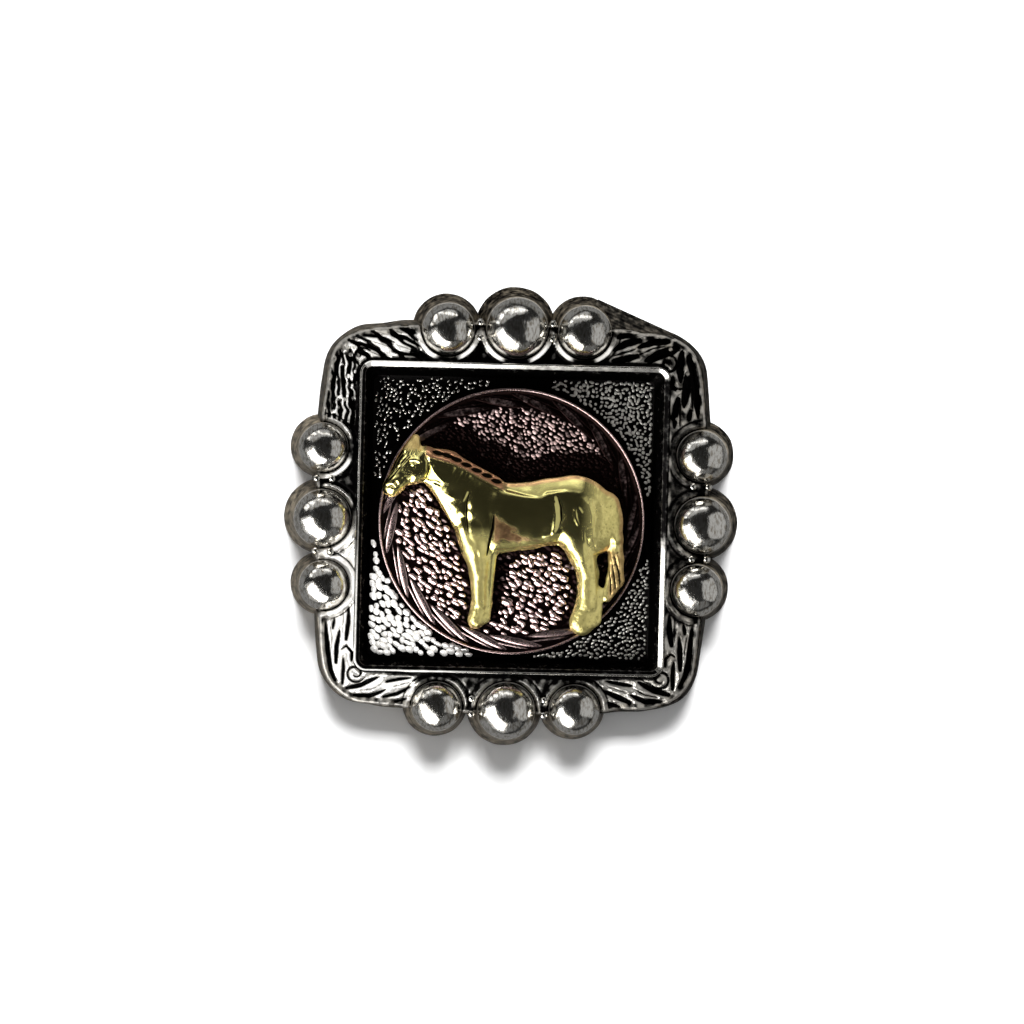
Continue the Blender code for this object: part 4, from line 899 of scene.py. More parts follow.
def grainTree(name, inputs, scattered, material, turnRange):
    # The ground bulges a little and was punched aslant, so its grains lean outward and to the lower left
    tree, given = shapeTree(name, inputs)
    given = given.outputs
    dense, grow, polish, bright = [
        addNode(tree, "GeometryNodeInputNamedAttribute", {"Name": mark})
        for mark in ("dense", "grow", "polish", "bright")
    ]
    spread = given["Geometry"]
    if scattered:
        # The greatest density is far more than the spacing lets in
        spread = addNode(tree, "GeometryNodeDistributePointsOnFaces", {
            "Mesh": given["Geometry"], "Distance Min": given["Spacing"], "Density Max": 5e7,
            "Density Factor": dense, "Seed": given["Seed"],
        }, distribute_method="POISSON")
    even = addNode(tree, "ShaderNodeCombineXYZ", {0: given["Length"], 1: given["Width"], 2: given["Height"]})
    uneven = addNode(tree, "FunctionNodeRandomValue", {
        0: (0.65, 0.70, 0.75), 1: (1.45, 1.30, 1.20), "Seed": given["Seed"]}, data_type="FLOAT_VECTOR")
    drawn = addNode(tree, "ShaderNodeVectorMath", {0: even, 1: uneven}, operation="MULTIPLY")
    size = addNode(tree, "ShaderNodeVectorMath", {0: drawn, 3: grow}, operation="SCALE")
    where = placeParts(tree)
    spreadX = addNode(tree, "ShaderNodeMath", {0: where["X"], 1: given["Lean"]}, operation="MULTIPLY")
    spreadY = addNode(tree, "ShaderNodeMath", {0: where["Y"], 1: given["Lean"]}, operation="MULTIPLY")
    leanX = addNode(tree, "ShaderNodeMath", {0: spreadX, 1: given["Slant"]}, operation="SUBTRACT")
    leanY = addNode(tree, "ShaderNodeMath", {0: spreadY, 1: given["Slant"]}, operation="SUBTRACT")
    loose = addNode(tree, "FunctionNodeRandomValue", {
        0: (-0.13, -0.13, turnRange[0]), 1: (0.13, 0.13, turnRange[1]), "Seed": given["Seed"],
    }, data_type="FLOAT_VECTOR")
    apart = addNode(tree, "ShaderNodeSeparateXYZ", {0: loose}).outputs
    tipX = addNode(tree, "ShaderNodeMath", {0: apart["X"], 1: leanY}, operation="SUBTRACT")
    tipY = addNode(tree, "ShaderNodeMath", {0: apart["Y"], 1: leanX}, operation="ADD")
    lean = addNode(tree, "ShaderNodeCombineXYZ", {0: tipX, 1: tipY})
    spin = addNode(tree, "ShaderNodeCombineXYZ", {2: apart["Z"]})
    leaned = addNode(tree, "FunctionNodeEulerToRotation", {0: lean})
    spun = addNode(tree, "FunctionNodeEulerToRotation", {0: spin})
    turn = addNode(tree, "FunctionNodeRotateRotation", {0: spun, 1: leaned})
    grains = addNode(tree, "GeometryNodeInstanceOnPoints", {
        "Points": spread, "Instance": grainDome(tree), "Rotation": turn, "Scale": size,
    })
    real = addNode(tree, "GeometryNodeRealizeInstances", {0: grains})
    # The bright mark holds painted light and shade set on the points or the floor
    buffed = addNode(tree, "ShaderNodeMath", {0: polish, 1: bright}, operation="MULTIPLY")
    marked = addNode(tree, "GeometryNodeStoreNamedAttribute", {0: real, "Name": "polish", "Value": buffed})
    closeTree(tree, marked, material)
    return tree


windowFloor = {"half": 11.55, "cornerRadius": 0.5, "sidePoints": 40, "centreY": -0.25, "hiddenRadius": 11.9}


def windowFloorMesh(broad):
    # The part of the window's floor that shows round the medallion
    w = windowFloor
    along = np.linspace(-2.0, 2.0, w["sidePoints"], endpoint=False)
    square = allSides(pillowCurve(w["half"], w["cornerRadius"], 0.0, along))
    square = np.column_stack([square, np.full(len(square), frameSize["windowFloorZ"])])
    bearing = np.arctan2(square[:, 0], square[:, 1] - w["centreY"])
    disc = [w["half"] * np.sin(bearing), w["half"] * np.cos(bearing) + w["centreY"], square[:, 2]]
    disc = np.column_stack(disc)
    count = len(square)
    faces = []
    for place, face in zip(square, quadsBetween(0, count, count)):
        atLowerLeft = place[0] < 0 and place[1] < 0
        if np.hypot(*place[:2]) > w["hiddenRadius"] and atLowerLeft == broad:
            faces.append(face)
    points = np.concatenate([square, disc])
    upperLeft = smoothStep(-8.0, 6.0, points[:, 1] - points[:, 0] - 12.0)
    lowerLeft = smoothStep(11.0, 15.0, -points[:, 0] - points[:, 1])
    lowerRight = smoothStep(12.0, 16.0, points[:, 0] - points[:, 1])
    # Painted light: the grains are painted brighter and matt white towards the lower left, and darker
    # towards the upper left and lower right
    marks = {
        "dense": 1 - 0.25 * upperLeft, "tint": 0.8 * lowerLeft,
        "bright": 1.2 - 0.4 * upperLeft + 1.6 * lowerLeft - 0.45 * lowerRight,
        "dull": 0.2 * smoothStep(-2.0, 8.0, points[:, 0]),
        "grow": 1 - 0.35 * upperLeft - 0.3 * smoothStep(0.0, 8.0, points[:, 0]),
    }
    return meshFrom("windowFloor", points, faces, marks)


for name, inputs, broad in (("windowGrains", grainInputs, False), ("broadGrains", broadInputs, True)):
    pebbles = grainTree(name, inputs, True, silverPlate, (-3.1, 3.1))
    finishPiece(name, runTree(pebbles, inputs, windowFloorMesh(broad)), silverPlate, "base")

# The medallion: a flat disc with a fine outer rim, a wreath of slanted strands and a grained ground
medallionSize = {
    "centreY": -0.25, "radius": 11.1, "bottom": 2.6, "ground": 3.2, "rimTop": 3.55, "strandOuter": 10.92,
    "strandInner": 9.75, "strands": 20, "sweep": 27, "strandWidth": 0.66, "hairWidth": 0.20,
    "grainPitch": 0.60, "rowPitch": 0.46, "upperPitch": 0.70, "rowSlant": -24, "segments": 240,
}


def discMesh():
    m = medallionSize
    outer, bottom, ground, top = m["radius"], m["bottom"], m["ground"], m["rimTop"]
    # Inset from the edge or radius, height, polish and dullness, from the back round the rim to the face
    rim = (
        (0.20, bottom, 0.3, 1.0), (0.04, bottom + 0.03, 0.3, 1.0), (0.0, bottom + 0.1, 0.3, 0.8),
        (0.0, top - 0.20, 0.55, 0.4), (0.01, top - 0.09, 0.9, 0.0), (0.05, top - 0.02, 1.0, 0.0),
        (0.10, top, 1.0, 0.0), (0.15, top - 0.02, 1.0, 0.0), (0.19, top - 0.09, 0.8, 0.0),
        (0.22, ground + 0.12, 0.2, 0.0), (0.28, ground + 0.02, 0.0, 0.0),
    )
    face = (
        (10.5, ground - 0.02, 0.0, 0.0), (10.0, ground - 0.02, 0.0, 0.0), (9.6, ground, 0.02, 0.0),
        (8.0, ground, 0.02, 0.0), (5.0, ground, 0.02, 0.0), (0.0, ground, 0.02, 0.0),
    )
    profile = [(0.0, bottom, 0.3, 1.0)] + [(outer - inset, *rest) for inset, *rest in rim] + list(face)
    count = m["segments"]
    angle = np.arange(count) * 2 * math.pi / count
    points, faces = [], []
    for radius, z, _, _ in profile:
        ring = [radius * np.sin(angle), radius * np.cos(angle) + m["centreY"], np.full(count, z)]
        points.append(np.column_stack(ring))
    for ring in range(len(profile) - 1):
        faces.extend(quadsBetween(ring * count, (ring + 1) * count, count))
    _, _, polish, dull = zip(*profile)
    marks = {"polish": np.repeat(polish, count), "dull": np.repeat(dull, count)}
    mesh = meshFrom("disc", np.concatenate(points), faces, marks)
    form = bmesh.new()
    form.from_mesh(mesh)
    bmesh.ops.remove_doubles(form, verts=form.verts, dist=1e-6)
    form.to_mesh(mesh)
    form.free()
    return turnOutward(mesh)


finishPiece("copperMedallion", discMesh(), copperPlate, "medallion")

strandInputs = {
    "Outer": medallionSize["strandOuter"] * mm, "Inner": medallionSize["strandInner"] * mm,
    "Sweep": math.radians(medallionSize["sweep"]), "Strands": medallionSize["strands"],
    "Width": medallionSize["strandWidth"] * mm, "Hair width": medallionSize["hairWidth"] * mm,
    "Level": 3.34 * mm, "Fall": 0.20, "Flatness": 0.42, "Seed": 3, "Least light": 0.26,
}


def strandTree():
    # One strand leaves the rim steeply and flattens as it runs inward; a fine line follows it
    tree, given = shapeTree("wreathStrands", strandInputs)
    given = given.outputs
    joined = addNode(tree, "GeometryNodeJoinGeometry")
    count = 22
    for label, inset, reach in (("Width", 0.10, 1.0), ("Hair width", -0.36, 0.86)):
        line = addNode(tree, "GeometryNodeMeshLine", {0: count, 3: (0.0, 0.0, 1.0)}, mode="OFFSET")
        share = addNode(tree, "ShaderNodeMath", {
            0: addNode(tree, "GeometryNodeInputIndex"), 1: (count - 1) / reach}, operation="DIVIDE")
        steep = addNode(tree, "ShaderNodeMath", {0: share, 1: 2.0}, operation="POWER")
        span = addNode(tree, "ShaderNodeMath", {0: given["Outer"], 1: given["Inner"]}, operation="SUBTRACT")
        reachOut = addNode(
            tree, "ShaderNodeMath", {0: steep, 1: span, 2: given["Inner"]}, operation="MULTIPLY_ADD"
        )
        radius = addNode(tree, "ShaderNodeMath", {0: reachOut, 1: inset * mm}, operation="SUBTRACT")
        left = addNode(tree, "ShaderNodeMath", {0: 1.0, 1: share}, operation="SUBTRACT")
        turn = addNode(tree, "ShaderNodeMath", {0: left, 1: given["Sweep"]}, operation="MULTIPLY")
        sine = addNode(tree, "ShaderNodeMath", {0: turn}, operation="SINE")
        cosine = addNode(tree, "ShaderNodeMath", {0: turn}, operation="COSINE")
        x = addNode(tree, "ShaderNodeMath", {0: sine, 1: radius}, operation="MULTIPLY")
        y = addNode(tree, "ShaderNodeMath", {0: cosine, 1: radius}, operation="MULTIPLY")
        above = addNode(tree, "ShaderNodeMath", {0: reachOut, 1: given["Inner"]}, operation="SUBTRACT")
        fallen = addNode(tree, "ShaderNodeMath", {0: above, 1: given["Fall"]}, operation="MULTIPLY")
        top = addNode(tree, "ShaderNodeMath", {0: given["Level"], 1: fallen}, operation="SUBTRACT")
        place = addNode(tree, "ShaderNodeCombineXYZ", {0: x, 1: y, 2: top})
        curve = addNode(tree, "GeometryNodeMeshToCurve", {0: line})
        laid = addNode(tree, "GeometryNodeSetPosition", {"Geometry": curve, "Position": place})
        along = addNode(tree, "GeometryNodeSplineParameter").outputs["Factor"]
        phase = addNode(tree, "ShaderNodeMapRange", {0: along, 3: 0.05, 4: math.pi - 0.2})
        swell = addNode(tree, "ShaderNodeMath", {0: phase}, operation="SINE")
        taper = addNode(tree, "ShaderNodeMath", {0: swell, 1: 0.7}, operation="POWER")
        half = addNode(tree, "ShaderNodeMath", {0: given[label], 1: 0.5}, operation="MULTIPLY")
        section = addNode(tree, "GeometryNodeCurvePrimitiveCircle", {"Resolution": 16, "Radius": half})
        tube = addNode(tree, "GeometryNodeCurveToMesh", {
            "Curve": laid, "Profile Curve": section, "Scale": taper, "Fill Caps": True})
        tree.links.new(tube.outputs[0], joined.inputs[0])
    # The wreath falls towards the rim, so each strand's crest is measured from its own level
    spot = placeParts(tree)
    flatSpot = addNode(tree, "ShaderNodeCombineXYZ", {0: spot["X"], 1: spot["Y"]})
    away = addNode(tree, "ShaderNodeVectorMath", {0: flatSpot}, operation="LENGTH").outputs["Value"]
    beyond = addNode(tree, "ShaderNodeMath", {0: away, 1: given["Inner"]}, operation="SUBTRACT")
    fall = addNode(tree, "ShaderNodeMath", {0: beyond, 1: given["Fall"]}, operation="MULTIPLY")
    rested = addNode(tree, "ShaderNodeMath", {0: given["Level"], 1: fall}, operation="SUBTRACT")
    height = addNode(tree, "ShaderNodeMath", {0: spot["Z"], 1: rested}, operation="SUBTRACT")
    share = addNode(tree, "ShaderNodeMapRange", {0: height, 1: 0.08 * mm, 2: 0.24 * mm, 3: 0.1})
    marked = addNode(tree, "GeometryNodeStoreNamedAttribute", {
        0: joined, "Name": "polish", "Value": share})
    flatter = addNode(tree, "ShaderNodeMath", {0: given["Flatness"], 1: 1.0}, operation="SUBTRACT")
    lowered = addNode(tree, "ShaderNodeMath", {0: height, 1: flatter}, operation="MULTIPLY")
    low = addNode(tree, "GeometryNodeSetPosition", {
        "Geometry": marked, "Offset": addNode(tree, "ShaderNodeCombineXYZ", {2: lowered})})
    wheel = addNode(tree, "GeometryNodeMeshCircle", {0: given["Strands"], 1: 1e-6})
    step = addNode(tree, "ShaderNodeMath", {0: 2 * math.pi, 1: given["Strands"]}, operation="DIVIDE")
    bearing = addNode(tree, "ShaderNodeMath", {
        0: addNode(tree, "GeometryNodeInputIndex"), 1: step}, operation="MULTIPLY")
    sway = addNode(tree, "FunctionNodeRandomValue", {
        2: -0.05, 3: 0.05, "Seed": given["Seed"]}).outputs[1]
    turned = addNode(tree, "ShaderNodeMath", {0: bearing, 1: sway}, operation="ADD")
    turn = addNode(tree, "ShaderNodeCombineXYZ", {2: turned})
    wreath = addNode(tree, "GeometryNodeInstanceOnPoints", {
        "Points": wheel, "Instance": low, "Rotation": turn})
    moved = addNode(tree, "GeometryNodeTransform", {
        0: wreath, "Translation": (0.0, medallionSize["centreY"] * mm, 0.0)})
    # Painted light: the wreath's polish is raised towards the lower left as painted highlight and lowered
    # towards the upper right as painted shade
    real = addNode(tree, "GeometryNodeRealizeInstances", {0: moved})
    there = placeParts(tree)
    crosswise = addNode(tree, "ShaderNodeMath", {0: there["X"], 1: there["Y"]}, operation="ADD")
    wreathLight = addNode(tree, "ShaderNodeMapRange", {
        0: crosswise, 1: -10 * mm, 2: 1 * mm, 3: 1.3, 4: given["Least light"]})
    polish = addNode(tree, "GeometryNodeInputNamedAttribute", {"Name": "polish"})
    worn = addNode(tree, "ShaderNodeMath", {0: polish, 1: wreathLight}, operation="MULTIPLY")
    buffAndHighlight = addNode(tree, "GeometryNodeStoreNamedAttribute", {0: real, "Name": "polish", "Value": worn})
    closeTree(tree, buffAndHighlight, copperPlate)
    return tree


strands = runTree(strandTree(), strandInputs, bpy.data.meshes.new("empty"))
finishPiece("wreathStrands", strands, copperPlate, "medallion")


# The horse. Its form is in shares of its own length, as masses that melt into each other
horseSize = {
    "length": 19.98, "place": (-0.6394, -1.1491), "z": 3.3, "edge": 0.030, "blend": 0.015,
    "reliefBlend": 0.010, "step": 0.0027, "softening": 3, "backSlope": 0.70,
}
# Start and end of each mass with the radius there, then its height over the ground
horseMasses = {
    "barrel": ((0.000, 0.061, 0.146), (0.095, 0.070, 0.136), 0.088),
    "back": ((0.095, 0.070, 0.136), (0.190, 0.090, 0.135), 0.088),
    "loin": ((0.190, 0.090, 0.135), (0.285, 0.103, 0.141), 0.088),
    "rump": ((0.311, 0.083, 0.150), (0.349, 0.054, 0.146), 0.092),
    "shoulder": ((-0.090, 0.106, 0.117), (-0.055, 0.024, 0.117), 0.085),
    "neck": ((-0.256, 0.248, 0.090), (-0.116, 0.122, 0.140), 0.075),
    "poll": ((-0.332, 0.292, 0.060), (-0.256, 0.248, 0.090), 0.070),
    "cheek": ((-0.365, 0.270, 0.072), (-0.386, 0.261, 0.069), 0.070),
    "face": ((-0.386, 0.270, 0.058), (-0.459, 0.193, 0.038), 0.060),
    "muzzle": ((-0.459, 0.189, 0.039), (-0.471, 0.176, 0.038), 0.056),
    "ear": ((-0.388, 0.332, 0.038), (-0.376, 0.383, 0.017), 0.053),
    "breast": ((-0.130, 0.014, 0.075), (-0.111, -0.065, 0.067), 0.078),
    "forearm": ((-0.111, -0.057, 0.065), (-0.096, -0.173, 0.041), 0.070),
    "foreCannon": ((-0.100, -0.173, 0.038), (-0.093, -0.298, 0.033), 0.065),
    "foreHoof": ((-0.093, -0.307, 0.035), (-0.108, -0.369, 0.035), 0.060),
    "farFore": ((-0.056, -0.097, 0.029), (-0.064, -0.297, 0.020), 0.043),
    "farForeHoof": ((-0.064, -0.297, 0.020), (-0.075, -0.356, 0.027), 0.043),
    "thigh": ((0.304, 0.020, 0.108), (0.327, -0.075, 0.060), 0.080),
    "gaskin": ((0.327, -0.075, 0.058), (0.354, -0.162, 0.044), 0.072),
    "hindCannon": ((0.354, -0.162, 0.044), (0.357, -0.296, 0.044), 0.067),
    "hindHoof": ((0.353, -0.296, 0.046), (0.334, -0.371, 0.052), 0.062),
    "farHind": ((0.400, -0.240, 0.022), (0.380, -0.352, 0.036), 0.043),
    "dock": ((0.426, 0.123, 0.054), (0.463, -0.018, 0.033), 0.065),
    "tail": ((0.463, -0.018, 0.033), (0.471, -0.101, 0.030), 0.052),
    "switch": ((0.471, -0.101, 0.030), (0.471, -0.184, 0.035), 0.048),
    "tailTip": ((0.467, -0.193, 0.035), (0.436, -0.260, 0.021), 0.044),
}
# Fine modelling: points, width, height above zero for a raised line and below it for a cut one
headLines = {
    "brow": (((-0.407, 0.295), (-0.385, 0.301), (-0.358, 0.289)), 0.012, 0.006),
    "eyeCorner": (((-0.387, 0.279), (-0.380, 0.262)), 0.009, 0.004),
    "eyeUpper": (((-0.400, 0.286), (-0.370, 0.284)), 0.007, -0.006),
    "eyeLower": (((-0.397, 0.270), (-0.372, 0.268)), 0.006, -0.004),
    "cheekEdge": (
        ((-0.338, 0.318), (-0.324, 0.290), (-0.320, 0.250), (-0.332, 0.216), (-0.356, 0.203)), 0.009, -0.009,
    ),
    "throatMuscle": (((-0.312, 0.276), (-0.296, 0.246), (-0.270, 0.216)), 0.016, 0.006),
    "throat": (((-0.322, 0.208), (-0.296, 0.206), (-0.274, 0.197)), 0.010, -0.006),
    "nostril": (((-0.454, 0.198), (-0.450, 0.187)), 0.009, -0.010),
    "mouth": (((-0.492, 0.182), (-0.474, 0.188), (-0.458, 0.178)), 0.006, -0.008),
    "bridge": (((-0.474, 0.211), (-0.434, 0.222)), 0.012, 0.004),
    "faceEdge": (((-0.484, 0.212), (-0.430, 0.279), (-0.402, 0.312)), 0.006, -0.005),
    "jaw": (((-0.470, 0.170), (-0.400, 0.187), (-0.362, 0.203)), 0.018, 0.004),
    "forelockA": (((-0.420, 0.322), (-0.402, 0.352), (-0.388, 0.388)), 0.006, -0.006),
    "forelockB": (((-0.404, 0.320), (-0.388, 0.352), (-0.379, 0.388)), 0.006, -0.006),
    "forelockC": (((-0.388, 0.318), (-0.374, 0.348), (-0.370, 0.384)), 0.006, -0.006),
    "forelockD": (((-0.370, 0.316), (-0.360, 0.342), (-0.356, 0.362)), 0.006, -0.006),
}
horseLines = {
    "neckEdge": (((-0.276, 0.168), (-0.238, 0.106), (-0.214, 0.050)), 0.006, -0.006),
    "neckFold": (((-0.262, 0.210), (-0.238, 0.206)), 0.010, 0.005),
    "chestFoldA": (((-0.240, 0.150), (-0.206, 0.143)), 0.012, 0.006),
    "chestFoldB": (((-0.224, 0.112), (-0.210, 0.103)), 0.012, 0.005),
    "shoulderCut": (((-0.150, 0.165), (-0.160, 0.118), (-0.158, 0.062), (-0.150, 0.000)), 0.012, -0.011),
    "shoulderBar": (((-0.178, 0.076), (-0.150, 0.082)), 0.012, 0.008),
    "elbowCut": (((-0.046, 0.076), (-0.050, 0.018), (-0.062, -0.044), (-0.070, -0.096)), 0.018, -0.013),
    "breastCut": (((-0.146, -0.020), (-0.130, -0.046)), 0.011, -0.007),
    "forearmCut": (((-0.112, -0.080), (-0.104, -0.120), (-0.100, -0.160)), 0.008, -0.009),
    "farForeFront": (((-0.079, -0.120), (-0.080, -0.340)), 0.006, 0.005),
    "farForeBack": (((-0.046, -0.120), (-0.049, -0.330)), 0.006, 0.005),
    "flankRidge": (((0.203, 0.128), (0.211, 0.080), (0.208, 0.030), (0.203, 0.006)), 0.008, 0.010),
    "flankFoot": (((0.172, -0.014), (0.222, 0.002)), 0.013, 0.008),
    "flankCut": (((0.220, 0.152), (0.232, 0.115), (0.236, 0.060), (0.228, 0.030)), 0.013, -0.012),
    "stifle": (((0.236, 0.030), (0.262, -0.002), (0.290, -0.010)), 0.030, 0.006),
    "hipFront": (((0.290, 0.106), (0.294, 0.070), (0.306, 0.042)), 0.006, 0.007),
    "hipTop": (((0.290, 0.108), (0.303, 0.110), (0.316, 0.094)), 0.007, 0.007),
    "hipBack": (((0.352, 0.118), (0.363, 0.080), (0.363, 0.042)), 0.007, 0.008),
    "hipFoot": (((0.332, 0.042), (0.348, 0.034)), 0.010, 0.007),
    "hipCut": (((0.376, 0.122), (0.386, 0.070), (0.376, 0.028)), 0.014, -0.009),
    "thighFront": (((0.326, 0.028), (0.330, -0.008), (0.338, -0.030)), 0.006, 0.005),
    "thighBack": (((0.368, 0.028), (0.366, -0.006), (0.352, -0.036)), 0.007, 0.005),
    "bellyEdge": (((-0.030, -0.076), (0.100, -0.061), (0.200, -0.046), (0.256, -0.052)), 0.006, -0.006),
    "hindEdge": (
        ((0.278, -0.074), (0.312, -0.130), (0.322, -0.200), (0.321, -0.290), (0.302, -0.350)), 0.005, -0.005,
    ),
    "gaskinCut": (((0.347, -0.030), (0.352, -0.080), (0.360, -0.142)), 0.012, -0.009),
    "hockRidge": (((0.372, -0.100), (0.386, -0.180), (0.389, -0.262)), 0.007, 0.006),
    "backEdge": (
        ((-0.100, 0.200), (-0.030, 0.184), (0.080, 0.158), (0.148, 0.151), (0.172, 0.171), (0.250, 0.183),
         (0.310, 0.176), (0.350, 0.144), (0.384, 0.116)), 0.010, -0.003,
    ),
    "tailA": (((0.462, -0.010), (0.480, -0.090), (0.497, -0.160), (0.497, -0.212)), 0.010, 0.010),
    "tailB": (((0.452, -0.080), (0.470, -0.150), (0.480, -0.220)), 0.010, 0.010),
    "tailC": (((0.446, -0.120), (0.456, -0.190), (0.462, -0.240)), 0.010, 0.009),
    "tailCutA": (((0.462, -0.090), (0.483, -0.160), (0.490, -0.220)), 0.008, -0.014),
    "tailCutB": (((0.452, -0.110), (0.464, -0.180), (0.472, -0.236)), 0.008, -0.014),
    "tailCutC": (((0.442, -0.150), (0.450, -0.210), (0.452, -0.252)), 0.007, -0.012),
}
# Lens-shaped cuts of the mane, along the crest from the poll to the withers
maneCuts = {
    "places": (
        (-0.284, 0.326), (-0.243, 0.316), (-0.205, 0.300), (-0.163, 0.279), (-0.120, 0.257),
        (-0.076, 0.236), (-0.037, 0.213),
    ),
    "halfLength": 0.022, "width": 0.023, "tilt": -14, "depth": 0.016, "bandWidth": 0.042, "bandLift": 0.007,
}
# How much polish goes on the mould's grain, the painted reflection patch and the tail, and how dull the
# first two get
horseWear = {"grain": 0.45, "patch": (0.36, 0.40), "tail": 0.45, "grainDull": 0.42, "reflectionDull": 0.24}
# How the lines are carved: soft edge in line widths, strength, and from which depth a cut stays black
bodyCarving = {"inner": -0.8, "outer": 1.5, "strength": 0.55, "blackBelow": -0.0105, "blackFrom": -0.3}
headCarving = {"inner": -0.6, "outer": 0.9, "strength": 0.90, "blackBelow": -0.007, "blackFrom": -0.4}


def massReach(mass, x, y):
    (x1, y1, r1), (x2, y2, r2), _ = mass
    runX, runY = x2 - x1, y2 - y1
    share = np.clip(((x - x1) * runX + (y - y1) * runY) / (runX ** 2 + runY ** 2), 0.0, 1.0)
    return np.hypot(x - x1 - share * runX, y - y1 - share * runY), r1 + (r2 - r1) * share


def smoothLeast(first, second, blend):
    share = np.clip(0.5 + 0.5 * (first - second) / blend, 0.0, 1.0)
    return first * (1 - share) + second * share - blend * share * (1 - share)


def horseOutline(x, y):
    field = np.full(np.shape(x), 1.0)
    for mass in horseMasses.values():
        distance, radius = massReach(mass, x, y)
        field = smoothLeast(field, distance - radius, horseSize["blend"])
    return field


def horseRelief(x, y):
    height = np.zeros(np.shape(x))
    for mass in horseMasses.values():
        distance, radius = massReach(mass, x, y)
        bulk = (mass[2] - horseSize["edge"]) * np.clip(1 - (distance / radius) ** 2, 0.0, 1.0) ** 0.72
        height = np.where(distance < radius, -smoothLeast(-height, -bulk, horseSize["reliefBlend"]), height)
    return np.clip(height, 0.0, None)


def carveLines(rise, polish, x, y, inward, lines, carving):
    for points, width, height in lines.values():
        edge = strokeDistance(x, y, points, width, lineTaper)
        share = 1 - smoothStep(carving["inner"] * width, carving["outer"] * width, edge)
        rise = rise + carving["strength"] * height * share * inward
        if height < carving["blackBelow"]:
            polish = polish * smoothStep(carving["blackFrom"] * width, 0.1 * width, edge)
    return rise, polish


def soften(rise, inside, kept, rounds):
    # Blends each height inside the outline with its four neighbours
    for _ in range(rounds):
        around = np.roll(rise, 1, 0) + np.roll(rise, -1, 0) + np.roll(rise, 1, 1) + np.roll(rise, -1, 1)
        rise = np.where(inside, kept * rise + (1 - kept) * around / 4, rise)
    return rise


def crestDistance(x, y):
    # Distance below the neck's upper outline, between the poll and the withers
    crest = ((-0.340, 0.352), (-0.280, 0.336), (-0.240, 0.326), (-0.200, 0.314), (-0.160, 0.296),
             (-0.120, 0.276), (-0.080, 0.254), (-0.040, 0.234), (0.000, 0.214))
    return strokeDistance(x, y, crest, 0.0, lineTaper)


